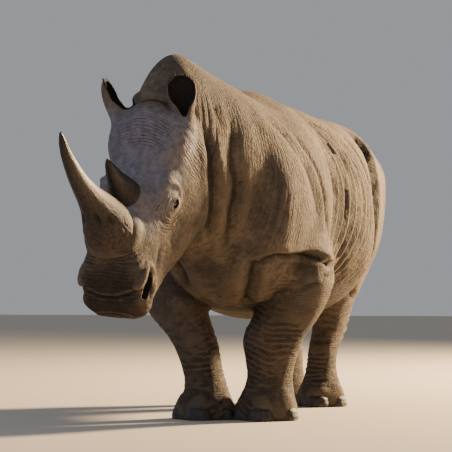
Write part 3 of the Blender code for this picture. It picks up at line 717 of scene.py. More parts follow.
@dataclass(frozen=True)
class Head:
    """The head in its own axes, its swellings, eyes' sockets, nostrils, mouth, ears and wrinkles."""

    skull: tuple[Section, ...] = (
        Section(-0.035, 0, -0.07, -0.18, -0.28, 0.09, 2.2),
        Section(0.01, 0, -0.02, -0.19, -0.36, 0.155, 2.3),
        Section(0.09, 0, 0.005, -0.20, -0.43, 0.188, 2.5),
        Section(0.20, 0, -0.015, -0.25, -0.490, 0.205, 2.6),
        Section(0.32, 0, -0.045, -0.30, -0.525, 0.203, 2.7),
        Section(0.43, 0, -0.060, -0.33, -0.540, 0.190, 2.8),
        Section(0.54, 0, -0.060, -0.34, -0.520, 0.172, 2.8),
        Section(0.64, 0, -0.050, -0.32, -0.475, 0.160, 2.8),
        Section(0.73, 0, -0.045, -0.29, -0.435, 0.154, 2.8),
        Section(0.81, 0, -0.075, -0.26, -0.405, 0.156, 2.9),
        Section(0.87, 0, -0.135, -0.25, -0.385, 0.155, 3.0),
        Section(0.92, 0, -0.20, -0.28, -0.370, 0.152, 3.0),
        Section(0.955, 0, -0.255, -0.305, -0.355, 0.135, 2.8),
        Section(0.975, 0, -0.290, -0.320, -0.346, 0.095, 2.5),
    )
    paired: tuple[tuple[Place, Place, float], ...] = (
        ((0.415, 0.130, -0.125), (0.095, 0.055, 0.055), 0.05),
        ((0.450, 0.130, -0.190), (0.075, 0.050, 0.065), 0.04),
        ((0.150, 0.130, -0.085), (0.130, 0.072, 0.075), 0.06),
        ((0.310, 0.122, -0.365), (0.190, 0.092, 0.145), 0.06),
        ((0.835, 0.115, -0.215), (0.070, 0.045, 0.085), 0.035),
        ((0.915, 0.075, -0.285), (0.055, 0.085, 0.055), 0.035),
        ((0.840, 0.140, -0.180), (0.075, 0.034, 0.024), 0.014),
        ((0.850, 0.142, -0.290), (0.075, 0.032, 0.022), 0.014),
        ((0.772, 0.138, -0.226), (0.024, 0.032, 0.052), 0.014),
        ((0.400, 0.165, -0.150), (0.050, 0.026, 0.026), 0.020),
    )
    middle: tuple[tuple[Place, Place, float], ...] = (
        ((0.700, 0.0, -0.060), (0.135, 0.135, 0.075), 0.04),
        ((0.520, 0.0, -0.075), (0.110, 0.100, 0.055), 0.04),
        ((0.085, 0.0, -0.055), (0.110, 0.110, 0.085), 0.06),
        ((-0.030, -0.015, -0.040), (0.050, 0.120, 0.055), 0.025),
        ((0.865, 0.0, -0.355), (0.075, 0.105, 0.040), 0.03),
    )
    ears: tuple[Ear, ...] = (
        Ear((0.058, 0.155, -0.060), (-0.13, 0.10, 1.0), (0.30, -1.0, 0.20)),
        Ear((0.075, -0.172, -0.050), (-0.30, -0.15, 1.0), (1.0, 0.0, 0.3), length=0.90),
    )
    eye: Place = (0.440, 0.160, -0.186)
    eye_radius: float = 0.0305
    gaze: Place = (0.20, 0.95, 0.22)
    lid: float = 0.040
    nostril: Place = (0.850, 0.152, -0.236)
    nostril_room: tuple[tuple[Place, Place], ...] = (
        ((0.0, 0.004, 0.0), (0.050, 0.046, 0.030)),
        ((-0.026, 0.008, 0.014), (0.030, 0.040, 0.032)),
        ((0.044, 0.002, -0.010), (0.026, 0.036, 0.017)),
    )

    @property
    def bone(self) -> Loft:
        """The skull's loft."""
        return Loft(HEAD, self.skull, 0.05)

    def forms(self) -> list[Form]:
        """The skull's loft and every swelling."""
        made: list[Form] = [self.bone]
        for centre, halves, blend in self.paired:
            made += [Ball(HEAD, sided(centre, side), halves, blend) for side in SIDES]
        made += [Ball(HEAD, centre, halves, blend) for centre, halves, blend in self.middle]
        made += [Ball(HEAD, sided(self.eye, side), (self.lid,) * 3, 0.016) for side in SIDES]
        return made + [ear.outer() for ear in self.ears]

    def openings(self, wall: float) -> list[Form]:
        """What is taken out of the flesh: the ears' rooms, the eyes between the lids, and the nostrils."""
        made: list[Form] = [ear.hollow(wall) for ear in self.ears]
        slit = np.array(self.eye) + 0.042 * np.array(self.gaze)
        for side in SIDES:
            made.append(Ball(HEAD, sided(slit, side), (0.0265, 0.026, 0.0135), 0.004))
            for shift, halves in self.nostril_room:
                made.append(Ball(HEAD, sided(np.add(self.nostril, shift), side), halves, 0.008))
        return made

    def relief(self, places: Array) -> Array:
        """The head's wrinkles at places given along, across and out of the forehead.

        Arcs over the forehead are pleats of the distance from a point between the eyes, and the bags under
        each eye of the distance from it. The muzzle's rows and the snout's stay clear of the nostrils, and
        the cheek's run along the head.

        Args:
            places: Along, across and rise of each place.

        Returns:
            Metres outward.
        """
        along, across, rise = places.T
        side = np.abs(across)
        total = np.zeros(len(places))
        arc = np.hypot(along - 0.50, 1.10 * across)
        crown = window(arc, 0.30, 0.47, 0.06) * fade(-0.30, -0.14, rise) * (1 - fade(0.22, 0.34, along))
        total += 0.0030 * crown * pleats(arc, 0.034, places, 51, 0.65, 0.6)
        ring = self.ring(places)
        below = fade(-0.01, 0.030, along - self.eye[0]) * fade(0.10, 0.13, side)
        bags = fade(0.040, 0.050, ring) * (1 - fade(0.085, 0.110, ring))
        total += 0.0050 * bags * below * pleats(ring, 0.024, places, 61, 0.65, 0.15)
        slope = 0.55 * along - 0.84 * rise
        clear = fade(0.050, 0.085, np.linalg.norm(np.stack([along, side, rise], -1) - self.nostril, axis=1))
        muzzle = window(slope, 0.485, 0.690, 0.02) * fade(0.78, 0.80, along) * clear
        total += 0.0048 * muzzle * pleats(slope, 0.036, places * (1, 0.30, 1), 65, 0.5, 0.7)
        snout = window(along, 0.56, 0.92, 0.05) * fade(0.10, 0.13, side) * fade(-0.40, -0.34, rise) * clear
        total += 0.0016 * snout * pleats(along - 0.5 * rise, 0.034, places, 73)
        cheek = window(along, 0.04, 0.50, 0.08) * (1 - fade(-0.34, -0.24, rise)) * fade(0.08, 0.13, side)
        total += 0.0020 * cheek * pleats(rise + 0.12 * along, 0.034, places * (0.25, 1, 1), 77)
        jowl = window(along, 0.50, 0.80, 0.08) * (1 - fade(-0.40, -0.34, rise))
        total += 0.0022 * jowl * pleats(along - rise, 0.034, places, 81)
        return total

    def ring(self, places: Array) -> Array:
        """The distance from the eye seen from the side, shortened toward the muzzle so that rings droop."""
        along, _, rise = places.T
        drop = np.where(along > self.eye[0], 0.66, 1.0)
        return np.hypot((along - self.eye[0]) * drop, (rise - self.eye[2]) * 1.05)

    def lines(self, places: Array) -> tuple[Array, Array]:
        """The fine wrinkles drawn by the finish: what they count along in metres, and their depth in metres.

        Args:
            places: Along, across and rise of each place.

        Returns:
            Three values a place: arcs over the crown, rings round the eye, and rows across the muzzle.
        """
        along, across, rise = places.T
        side, arc, ring = np.abs(across), np.hypot(along - 0.50, 1.10 * across), self.ring(places)
        crown = window(arc, 0.27, 0.52, 0.05) * (1 - fade(0.20, 0.32, along)) * fade(-0.34, -0.20, rise)
        below = 0.25 + 0.75 * fade(-0.02, 0.03, along - self.eye[0])
        rings = fade(0.038, 0.046, ring) * (1 - fade(0.075, 0.125, ring)) * fade(0.09, 0.12, side) * below
        slope = 0.55 * along - 0.84 * rise
        rows = window(slope, 0.47, 0.72, 0.03) * fade(0.70, 0.78, along) * (1 - fade(0.125, 0.150, side))
        return np.stack([arc, ring, slope], -1), np.stack([0.0032 * crown, 0.0040 * rings, 0.0036 * rows], -1)


@dataclass(frozen=True)
class Tail:
    """The tail's line, forward and up, with its radius, and the bristles at its end."""

    rows: tuple[tuple[float, float, float], ...] = (
        (-1.130, 1.420, 0.058),
        (-1.150, 1.400, 0.056),
        (-1.215, 1.345, 0.050),
        (-1.262, 1.265, 0.041),
        (-1.288, 1.150, 0.033),
        (-1.288, 1.030, 0.027),
        (-1.272, 0.920, 0.0225),
        (-1.262, 0.840, 0.020),
    )

    def forms(self) -> list[Form]:
        """The tail as one rope."""
        path = [(0.0, -ahead, high) for ahead, high, _ in self.rows]
        return [Rope(np.array(path), [row[2] for row in self.rows], 0.035)]

    def relief(self, places: Array) -> Array:
        """Ring wrinkles, as pleats of height."""
        ahead, left, high = places.T
        mine = fade(1.235, 1.262, -ahead) * fade(0.80, 0.86, high) * (1 - fade(1.20, 1.30, high))
        return 0.0022 * mine * (np.abs(left) < 0.07) * pleats(high, 0.014, places, 85)
BODY_CREASES = (
    # Behind the cheek, the deep fold before the shoulder, and two short ones from the crest and withers.
    Crease(
        ((1.449, 0.016, 1.441), (1.433, 0.041, 1.362), (1.411, 0.059, 1.27), (1.388, 0.057, 1.154),
         (1.349, 0.047, 1.039), (1.304, 0.025, 0.947), (1.26, -0.007, 0.863)),
        0.020, 0.024, ease=(0.35, 0.3),
    ),
    Crease(
        ((1.221, 0.061, 1.60), (1.240, 0.100, 1.516), (1.268, 0.127, 1.395), (1.300, 0.131, 1.252),
         (1.280, 0.145, 1.158), (1.266, 0.141, 1.088), (1.254, 0.114, 0.995), (1.218, 0.089, 0.901),
         (1.173, 0.058, 0.807)),
        0.026, 0.030, 0.3, ease=(0.65, 0.3),
    ),
    Crease(
        ((1.310, 0.011, 1.631), (1.336, 0.048, 1.533), (1.330, 0.080, 1.439), (1.319, 0.107, 1.345)),
        0.007, 0.018, ease=(0.4, 0.4),
    ),
    Crease(
        ((1.060, 0.116, 1.563), (1.100, 0.17, 1.473), (1.110, 0.21, 1.376), (1.10, 0.24, 1.25)),
        0.006, 0.030, ease=(0.4, 0.4),
    ),
    # The right side of the neck.
    Crease(
        ((1.40, -0.26, 1.56), (1.42, -0.33, 1.42), (1.40, -0.37, 1.27), (1.36, -0.37, 1.12),
         (1.30, -0.33, 0.98), (1.24, -0.25, 0.88)),
        0.020, 0.024, ease=(0.35, 0.3),
    ),
    Crease(
        ((1.20, -0.16, 1.62), (1.24, -0.30, 1.48), (1.26, -0.38, 1.30), (1.24, -0.40, 1.14),
         (1.20, -0.36, 0.98), (1.14, -0.28, 0.86)),
        0.028, 0.027, 0.3, ease=(0.45, 0.3),
    ),
    # The shoulder's rear edge, the line before it, and shallow ones over the shoulder.
    Crease(
        ((0.93, 0.12, 1.56), (0.89, 0.22, 1.49), (0.83, 0.32, 1.385), (0.775, 0.377, 1.297),
         (0.72, 0.418, 1.202), (0.688, 0.441, 1.06), (0.668, 0.449, 0.96), (0.676, 0.450, 0.88)),
        0.020, 0.020, 0.3, 0.008, (1, 0, 0), True, (0.5, 0.3),
    ),
    Crease(
        ((1.04, 0.16, 1.53), (1.00, 0.21, 1.49), (0.94, 0.28, 1.415), (0.90, 0.345, 1.32),
         (0.845, 0.387, 1.225), (0.80, 0.416, 1.105), (0.76, 0.429, 0.974), (0.75, 0.437, 0.89)),
        0.011, 0.026, both=True, ease=(0.3, 0.4),
    ),
    Crease(
        ((0.60, 0.36, 1.36), (0.56, 0.42, 1.26), (0.54, 0.45, 1.13), (0.54, 0.46, 1.00)),
        0.006, 0.030, 0.5, both=True, ease=(0.5, 0.5),
    ),
    # Where the shoulder's hide overhangs the foreleg, and the leg parts from the brisket.
    Crease(
        ((1.108, 0.193, 0.774), (1.064, 0.281, 0.808), (0.96, 0.33, 0.809), (0.855, 0.38, 0.815),
         (0.76, 0.42, 0.80), (0.68, 0.43, 0.765), (0.58, 0.42, 0.745)),
        0.020, 0.013, 0.4, 0.022, (0, 0, 1), True, (0.12, 0.2),
    ),
    Crease(
        ((1.108, 0.200, 0.790), (1.09, 0.180, 0.73), (1.02, 0.150, 0.66), (0.93, 0.115, 0.60),
         (0.84, 0.09, 0.57)),
        0.036, 0.030, 0.2, 0.008, (0, 1, 0), True, (0.12, 0.1),
    ),
    # The flank's two deep folds, and those of the stifle, rump and thigh.
    Crease(
        ((0.02, 0.26, 1.545), (-0.10, 0.34, 1.48), (-0.22, 0.395, 1.405), (-0.285, 0.44, 1.32),
         (-0.290, 0.475, 1.22), (-0.265, 0.495, 1.12), (-0.20, 0.515, 1.02), (-0.12, 0.52, 0.93)),
        0.020, 0.022, 0.2, 0.017, (-1, 0, 0), True, (0.30, 0.35),
    ),
    Crease(
        ((-0.46, 0.22, 1.57), (-0.535, 0.31, 1.512), (-0.555, 0.38, 1.45), (-0.525, 0.443, 1.36),
         (-0.445, 0.488, 1.225), (-0.38, 0.50, 1.09), (-0.335, 0.50, 0.97), (-0.33, 0.48, 0.84),
         (-0.38, 0.43, 0.71)),
        0.022, 0.022, 0.1, 0.024, (-1, 0, 0), True, (0.3, 0.15),
    ),
    Crease(
        ((-1.06, 0.16, 1.42), (-1.10, 0.24, 1.28), (-1.10, 0.30, 1.12), (-1.05, 0.32, 0.98),
         (-0.98, 0.30, 0.84)),
        0.014, 0.020, both=True, ease=(0.3, 0.4),
    ),
    Crease(
        ((-0.44, 0.38, 0.66), (-0.56, 0.38, 0.60), (-0.68, 0.34, 0.585), (-0.82, 0.28, 0.60)),
        0.011, 0.016, 0.3, 0.006, (0, 0, 1), True,
    ),
    Crease(
        ((-0.68, 0.46, 1.30), (-0.75, 0.47, 1.14), (-0.78, 0.46, 0.98), (-0.74, 0.43, 0.84)),
        0.009, 0.030, both=True, ease=(0.5, 0.5),
    ),
    Crease(
        ((-0.10, 0.50, 0.86), (-0.22, 0.47, 0.76), (-0.36, 0.41, 0.68)),
        0.014, 0.022, 0.5, both=True, ease=(0.4, 0.3),
    ),
)
HEAD_CREASES = (
    # The mouth.
    Crease(
        ((0.955, -0.10, -0.335), (0.972, 0.0, -0.335), (0.955, 0.10, -0.335), (0.90, 0.148, -0.345),
         (0.83, 0.158, -0.362), (0.76, 0.158, -0.385), (0.70, 0.155, -0.41)),
        0.010, 0.008, 0.5, 0.004, (0, 0, 1),
    ),
    Crease(
        ((0.955, -0.10, -0.335), (0.90, -0.148, -0.345), (0.83, -0.158, -0.362), (0.76, -0.158, -0.385),
         (0.70, -0.155, -0.41)),
        0.010, 0.008, 0.5, 0.004, (0, 0, 1),
    ),
    # The roll behind the crown, and the line over the upper lip.
    Crease(
        ((0.055, -0.130, -0.02), (0.022, -0.089, -0.0), (0.010, -0.044, 0.003), (0.006, 0.007, 0.005),
         (0.014, 0.058, 0.0), (0.045, 0.105, 0.0), (0.085, 0.150, -0.03)),
        0.006, 0.012, 0.5, 0.003, (-1, 0, 0), ease=(0.3, 0.3),
    ),
    Crease(
        ((0.875, -0.150, -0.200), (0.915, -0.115, -0.212), (0.935, -0.052, -0.222), (0.935, 0.04, -0.222),
         (0.910, 0.115, -0.205), (0.890, 0.135, -0.195)),
        0.0045, 0.007, 0.4, 0.002, (0, 0, 1), ease=(0.25, 0.25),
    ),
    # The brow's arch over the eye, and two shallow lines down the cheek.
    Crease(
        ((0.455, 0.150, -0.080), (0.415, 0.160, -0.085), (0.385, 0.172, -0.110), (0.378, 0.184, -0.150),
         (0.392, 0.188, -0.195), (0.425, 0.190, -0.222)),
        -0.010, 0.013, 0.25, both=True, ease=(0.3, 0.3),
    ),
    Crease(
        ((0.53, 0.18, -0.24), (0.57, 0.17, -0.30), (0.61, 0.16, -0.36)),
        0.006, 0.024, 0.4, both=True, ease=(0.5, 0.5),
    ),
    Crease(
        ((0.60, 0.155, -0.20), (0.67, 0.165, -0.235), (0.73, 0.16, -0.26), (0.78, 0.155, -0.27)),
        0.005, 0.014, 0.4, both=True, ease=(0.5, 0.5),
    ),
)


def edges_of(faces: Array) -> tuple[Array, Array]:
    """Each edge of the triangles once, and for every triangle the numbers of its three edges."""
    pairs = np.sort(np.stack([faces, np.roll(faces, -1, 1)], -1).reshape(-1, 2), 1)
    key = pairs[:, 0] * (faces.max() + 1) + pairs[:, 1]
    _, first, index = np.unique(key, return_index=True, return_inverse=True)
    return pairs[first], index.reshape(-1, 3)


def split_edges(
    points: Array, faces: Array, wanted: Array, edges: Array, index: Array
) -> tuple[Array, Array]:
    """Splits the wanted edges at their middles, and each triangle into one to four.

    Args:
        points: The mesh's points.
        faces: Its triangles.
        wanted: Which edges to split.
        edges: The edges' ends.
        index: The edges of each triangle.

    Returns:
        The new points and triangles.
    """
    number = np.full(len(edges), -1)
    number[wanted] = len(points) + np.arange(wanted.sum())
    points = np.concatenate([points, points[edges[wanted]].mean(1)])
    middle = number[index]
    pattern = (middle >= 0) @ np.array([1, 2, 4])
    made = []
    for kind, turn in ((0, 0), (1, 0), (2, 1), (3, 0), (4, 2), (5, 2), (6, 1), (7, 0)):
        mine = pattern == kind
        a, b, c = np.roll(faces[mine], -turn, 1).T
        ab, bc, ca = np.roll(middle[mine], -turn, 1).T
        if kind == 0:
            rows = [(a, b, c)]
        elif kind == 7:
            rows = [(a, ab, ca), (ab, b, bc), (ca, bc, c), (ab, bc, ca)]
        elif kind in (1, 2, 4):
            rows = [(a, ab, c), (ab, b, c)]
        else:
            rows = [(ab, b, bc), (a, ab, bc), (a, bc, c)]
        made += [np.stack(row, -1) for row in rows]
    return points, np.concatenate(made)


def normals_of(points: Array, faces: Array) -> Array:
    """Each point's normal: the sum of its triangles' cross products, set to length 1."""
    a, b, c = points[faces].transpose(1, 0, 2)
    cross = np.cross(b - a, c - a)
    total = np.stack([np.bincount(faces.ravel(), np.repeat(side, 3), len(points)) for side in cross.T], -1)
    return total / np.maximum(np.linalg.norm(total, axis=1, keepdims=True), 1e-12)


def neighbour_mean(values: Array, edges: Array) -> Array:
    """The mean of each point's neighbours along the edges."""
    flat = values.reshape(len(values), -1)
    ends = np.concatenate([edges[:, 0], edges[:, 1]])
    others = np.concatenate([edges[:, 1], edges[:, 0]])
    count = np.maximum(np.bincount(ends, minlength=len(values)), 1)
    total = np.stack([np.bincount(ends, column[others], len(values)) for column in flat.T], -1)
    return (total / count[:, None]).reshape(values.shape)


class Flesh:
    """The whole animal's distance field: forms joined smoothly, less the openings, level at the floor."""

    REACH = 0.12
    PROBE = 0.0015
    LONGEST_STEP = 0.010
    SOLE_EDGE = 0.008

    def __init__(self, forms: Sequence[Form], openings: Sequence[Form]) -> None:
        self.forms, self.openings = list(forms), list(openings)
        self.low = np.min([form.low for form in self.forms], 0)
        self.high = np.max([form.high for form in self.forms], 0)

    def distance(self, points: Array) -> Array:
        """Roughly how far each place is outside the flesh."""
        total = np.full(len(points), FAR)
        for form in self.forms:
            near = self.near(form, points)
            total[near] = soft_min(total[near], form.distance(points[near]), form.blend)
        for form in self.openings:
            near = self.near(form, points)
            total[near] = -soft_min(-total[near], form.distance(points[near]), form.blend)
        return -soft_min(-total, points[:, 2], self.SOLE_EDGE)

    def near(self, form: Form, points: Array) -> Array:
        """The places in reach of a form."""
        close = ((points > form.low - self.REACH) & (points < form.high + self.REACH)).all(1)
        return np.flatnonzero(close)

    def settle(self, points: Array, rounds: int = 2) -> Array:
        """Moves points onto the surface: each round steps by the distance over the squared slope."""
        for _ in range(rounds):
            slope = np.empty_like(points)
            for axis, shift in enumerate(self.PROBE * np.eye(3)):
                rise = self.distance(points + shift) - self.distance(points - shift)
                slope[:, axis] = rise / (2 * self.PROBE)
            steep = np.maximum((slope**2).sum(1), 0.2)
            step = slope * (self.distance(points) / steep)[:, None]
            length = np.maximum(np.linalg.norm(step, axis=1, keepdims=True), 1e-9)
            points = points - step * np.minimum(1, self.LONGEST_STEP / length)
        return points

    def net(self, cell: float, block: int = 10) -> tuple[Array, Array]:
        """The surface as a net of quads, one point in each cell that it crosses.

        Space is cut into blocks, and only the blocks near the surface are sampled. The point of a cell is the
        mean of its edges' crossings, and each crossed edge gives a quad round it.

        Args:
            cell: Cell size in metres.
            block: Cells along a block's side.

        Returns:
            Points and quads.
        """
        low = self.low - 1.5 * cell
        low[2] = -1.37 * cell
        size = cell * block
        counts = np.ceil((self.high + cell - low) / size).astype(int)
        blocks = np.stack(np.meshgrid(*map(np.arange, counts), indexing="ij"), -1).reshape(-1, 3)
        centre = self.distance(low + (blocks + 0.5) * size)
        kept = blocks[np.abs(centre) < 2.0 * size]
        values = np.repeat(np.where(centre < 0, -1.0, 1.0).astype(np.float32).reshape(counts), block, 0)
        values = np.repeat(np.repeat(values, block, 1), block, 2)
        values = np.pad(values, ((0, 1),) * 3, mode="edge")
        step = np.arange(block + 1)
        offsets = np.stack(np.meshgrid(step, step, step, indexing="ij"), -1).reshape(-1, 3)
        for start in range(0, len(kept), 300):
            index = (kept[start : start + 300, None, :] * block + offsets).reshape(-1, 3)
            values[tuple(index.T)] = self.distance(low + index * cell)
        inside = values < 0
        corners = list(np.ndindex(2, 2, 2))
        wide, deep, tall = np.array(values.shape) - 1
        total = sum(inside[x : wide + x, y : deep + y, z : tall + z].astype(np.int8) for x, y, z in corners)
        active = (total > 0) & (total < 8)
        cells = np.argwhere(active)
        number = np.full(active.shape, -1)
        number[active] = np.arange(len(cells))
        crossings, count = np.zeros((len(cells), 3)), np.zeros(len(cells))
        for corner in corners:
            for axis in range(3):
                if corner[axis]:
                    continue
                other = np.array(corner)
                other[axis] = 1
                first, last = values[tuple((cells + corner).T)], values[tuple((cells + other).T)]
                crossed = (first < 0) != (last < 0)
                place = np.repeat([corner], len(cells), 0).astype(float)
                place[:, axis] += np.where(crossed, first / np.where(crossed, first - last, 1), 0)
                crossings += np.where(crossed[:, None], place, 0)
                count += crossed
        points = low + (cells + crossings / count[:, None]) * cell
        quads = []
        for axis, (left, right) in enumerate(((1, 2), (2, 0), (0, 1))):
            near, far = [slice(None)] * 3, [slice(None)] * 3
            near[axis], far[axis] = slice(0, -1), slice(1, None)
            for side in (left, right):
                near[side] = far[side] = slice(1, -1)
            first, last = inside[tuple(near)], inside[tuple(far)]
            for mask, order in ((first & ~last, 1), (~first & last, -1)):
                edge = np.argwhere(mask)
                edge[:, [left, right]] += 1
                ring = []
                for back_left, back_right in ((1, 1), (0, 1), (0, 0), (1, 0)):
                    place = edge.copy()
                    place[:, left] -= back_left
                    place[:, right] -= back_right
                    ring.append(number[tuple(place.T)])
                quads.append(np.stack(ring[::order], -1))
        return points, np.concatenate(quads)


@dataclass(frozen=True)
class Skin:
    """The one skin over all the flesh: netted, refined at the head, settled, folded and thinned.

    The edges of head, ears and eyes are the longest wanted there, as shares of the net's cell.
    """

    torso: Torso
    head: Head
    legs: tuple[Leg, ...]
    tail: Tail
    creases: tuple[Crease, ...]
    head_creases: tuple[Crease, ...]
    cell: float = 0.0095
    quick_cell: float = 0.018
    net_wall: float = 0.017
    ear_wall: float = 0.011
    head_edge: float = 0.70
    ear_edge: float = 0.60
    eye_edge: float = 0.36
    triangles: int = 193_000
    fine_weight: float = 0.35
    thinning_bias: float = 0.1

    def flesh(self, wall: float) -> Flesh:
        """The distance field, with the ears' walls that thick."""
        forms = self.torso.forms()
        for leg in self.legs:
            forms += leg.forms()
        return Flesh(forms + self.tail.forms() + self.head.forms(), self.head.openings(wall))

    def detail(self, places: Array) -> Array:
        """The longest edge wanted: a metre on the body, short on the head, shortest at eyes and nostrils."""
        local = HEAD.local(places)
        along, _, rise = local.T
        wanted = np.full(len(places), 1.0)
        head = (along > -0.30) & (along < 1.05) & (places[:, 1] < -1.36) & (rise < 0.45)
        wanted[head] = self.head_edge * self.cell
        for ear in self.head.ears:
            up, wide, deep = ear.frame.local(places).T
            inside = (up > 0.02) & (up < 0.24) & (np.abs(wide) < 0.08) & (np.abs(deep) < 0.06)
            wanted[inside] = self.ear_edge * self.cell
        for spot, reach in ((self.head.eye, 0.075), (self.head.nostril, 0.050)):
            for side in SIDES:
                near = np.linalg.norm(local - sided(spot, side), axis=1) < reach
                wanted[near] = self.eye_edge * self.cell
        return wanted

    def head_share(self, local: Array, points: Array) -> Array:
        """How much of the head's own folds a place takes: all on the skull, none behind the crown."""
        return fade(-0.03, 0.06, local[:, 0]) * (1 - fade(0.020, 0.055, self.head.bone.distance(points)))

    def relief(self, points: Array, flesh: Flesh) -> tuple[Array, Array]:
        """All the folds' heights, and the painted shade on the stepped folds' walls."""
        fold_shade = np.zeros(len(points))
        places = BODY.local(points)
        head = HEAD.local(points)
        in_head = self.head_share(head, points) * (places[:, 0] > 1.0)
        total = (1 - in_head) * self.torso.relief(places) + self.tail.relief(places)
        for creases, frame, local in ((self.creases, BODY, places), (self.head_creases, HEAD, head)):
            for crease in creases:
                for line in crease.lines(flesh, frame):
                    total += crease.height(local, line, fold_shade)
        for leg in self.legs:
            total += leg.relief(places)
        ears = np.zeros(len(points))
        for ear in self.head.ears:
            local = ear.frame.local(points)
            around = np.linalg.norm(local[:, 1:], axis=1) < 0.10
            ears = np.maximum(ears, fade(0.01, 0.05, local[:, 0]) * around)
        near = in_head > 0
        total[near] += in_head[near] * (1 - ears[near]) * self.head.relief(head[near])
        total += 0.0016 * layered(points, 0.05, 3, 41) * (1 - 0.7 * ears)
        return total, fold_shade

    def build(self) -> bpy.types.Object:
        """Makes the skin's mesh with its attributes.

        Returns:
            The skin as an object with a Decimate modifier.
        """
        cell = self.cell
        points, quads = self.flesh(self.net_wall).net(cell)
        faces = np.concatenate([quads[:, [0, 1, 2]], quads[:, [0, 2, 3]]])
        for _ in range(2):
            edges, index = edges_of(faces)
            length = np.linalg.norm(points[edges[:, 0]] - points[edges[:, 1]], axis=1)
            wanted = length > self.detail(points[edges].mean(1)) * cell / self.cell
            points, faces = split_edges(points, faces, wanted, edges, index)
        edges, _ = edges_of(faces)
        real = self.flesh(self.ear_wall)
        for _ in range(2):
            points = real.settle(points, 1)
            points = 0.5 * points + 0.5 * neighbour_mean(points, edges)
        points = real.settle(points, 2)
        LOG.info("skin: %d triangles before thinning", len(faces))
        rough, fold_shade = self.relief(points, real)
        normals = normals_of(points, faces)
        points = points + unit(normals + neighbour_mean(normals, edges)) * rough[:, None]
        points[:, 2] = np.maximum(points[:, 2], 0.0)
        # Painted shade and highlight: how sunken each point is, with the folds' walls, for the finish to
        # darken hollows and lighten rolls.
        hollow = np.maximum(self.cavity_shading(points, faces, edges, rough), fold_shade)
        return self.mesh(points, faces, hollow)

    def cavity_shading(self, points: Array, faces: Array, edges: Array, rough: Array) -> Array:
        """How sunken each place is: its neighbours' mean height over it at three reaches, and its relief; the
        finish paints it as shade in hollows and as a highlight on rolls.
        """
        normals = normals_of(points, faces)
        mean, total = points, np.zeros(len(points))
        for rounds, weight in ((2, 260.0), (5, 150.0), (12, 70.0)):
            for _ in range(rounds):
                mean = neighbour_mean(mean, edges)
            total += weight * ((mean - points) * normals).sum(1)
        return np.clip(0.35 + 0.35 * total - 20 * rough, 0, 0.78)

    def ear_rooms(self, points: Array) -> tuple[Array, Array]:
        """Two shares: of each place inside an ear, and inside any opening, with nostrils and eyes' slits; the
        second is painted as shade.
        """
        ears = np.zeros(len(points))
        for ear in self.head.ears:
            place = ear.frame.local(points)
            around = np.linalg.norm(place[:, 1:], axis=1) < 0.09
            room = ear.hollow(0.006).distance(points) < 0.002
            ears = np.maximum(ears, fade(0.0, 0.03, place[:, 0]) * (around & room))
        # Painted shade: the insides of ears, nostrils and eyes' slits are marked to be painted near black.
        dark = ears
        for form in self.head.openings(0.006):
            if isinstance(form, Ball):
                dark = np.maximum(dark, 1 - fade(0.0, 0.006, form.distance(points)))
        return ears, dark

    def mesh(self, points: Array, faces: Array, hollow: Array) -> bpy.types.Object:
        """Puts the arrays in a mesh, with what the finish reads, and thins it, least where the head is fine.

        Args:
            points: The points, in the table frame.
            faces: The triangles.
            hollow: How sunken each point is, with the folds' painted shade; the finish paints it as shade,
                and as a highlight where low.

        Returns:
            The object.
        """
        item = mesh_object("skin", points + SHIFT, [faces])
        local, places = HEAD.local(points), BODY.local(points)
        (along, across, rise), ahead = local.T, places[:, 0]
        front = fade(1.25, 1.42, ahead)
        ears, dark = self.ear_rooms(points)
        in_head = self.head_share(local, points) * fade(0.98, 1.02, ahead)
        head_lines, head_depths = self.head.lines(local)
        body_lines, body_depths = self.torso.lines(places)
        lip = 1 - fade(0.10, 0.17, np.abs(across)) * fade(-0.30, -0.22, rise)
        stored = {
            "hollow": hollow,
            # ear: painted shade inside the openings.
            "ear": dark,
            "head_lines": head_lines,
            "head_depths": head_depths * (in_head * (1 - ears))[:, None],
            "body_lines": body_lines,
            "body_depths": body_depths * (1 - in_head)[:, None],
            "face": front * window(along, 0.10, 0.62, 0.08) * fade(-0.24, -0.12, rise),
            "lip": front * fade(0.76, 0.92, along) * lip,
        }
        for name, values in stored.items():
            write_attribute(item, name, values)
        fine = self.detail(points) < 1
        group = item.vertex_groups.new(name="coarse")
        group.add(np.flatnonzero(~fine).tolist(), 1.0, "REPLACE")
        group.add(np.flatnonzero(fine).tolist(), self.fine_weight, "REPLACE")
        if len(faces) > self.triangles:
            thin = item.modifiers.new("thinner", "DECIMATE")
            thin.ratio = self.triangles / len(faces)
            thin.vertex_group = "coarse"
            thin.vertex_group_factor = self.thinning_bias
        return item


def mesh_object(name: str, points: Array, groups: Sequence[Array]) -> bpy.types.Object:
    """A smooth-shaded mesh object from arrays.

    Args:
        name: Its name.
        points: One row a point, in metres.
        groups: Arrays of faces, one row a face, all of one length within an array.

    Returns:
        The object, linked to the scene.
    """
    mesh = bpy.data.meshes.new(name)
    mesh.vertices.add(len(points))
    mesh.vertices.foreach_set("co", np.asarray(points, np.float32).ravel())
    corners = np.concatenate([group.ravel() for group in groups]).astype(np.int32)
    sizes = np.concatenate([np.full(len(group), group.shape[1]) for group in groups])
    mesh.loops.add(len(corners))
    mesh.loops.foreach_set("vertex_index", corners)
    mesh.polygons.add(len(sizes))
    mesh.polygons.foreach_set("loop_start", np.concatenate([[0], np.cumsum(sizes)[:-1]]).astype(np.int32))
    mesh.polygons.foreach_set("use_smooth", np.ones(len(sizes), bool))
    mesh.update(calc_edges=True)
    mesh.validate()
    item = bpy.data.objects.new(name, mesh)
    bpy.context.scene.collection.objects.link(item)
    return item


def write_attribute(item: bpy.types.Object, name: str, values: Array) -> None:
    """Stores a number or a vector a point."""
    flat = values.ndim == 1
    layer = item.data.attributes.new(name, "FLOAT" if flat else "FLOAT_VECTOR", "POINT")
    layer.data.foreach_set("value" if flat else "vector", np.asarray(values, np.float32).ravel())


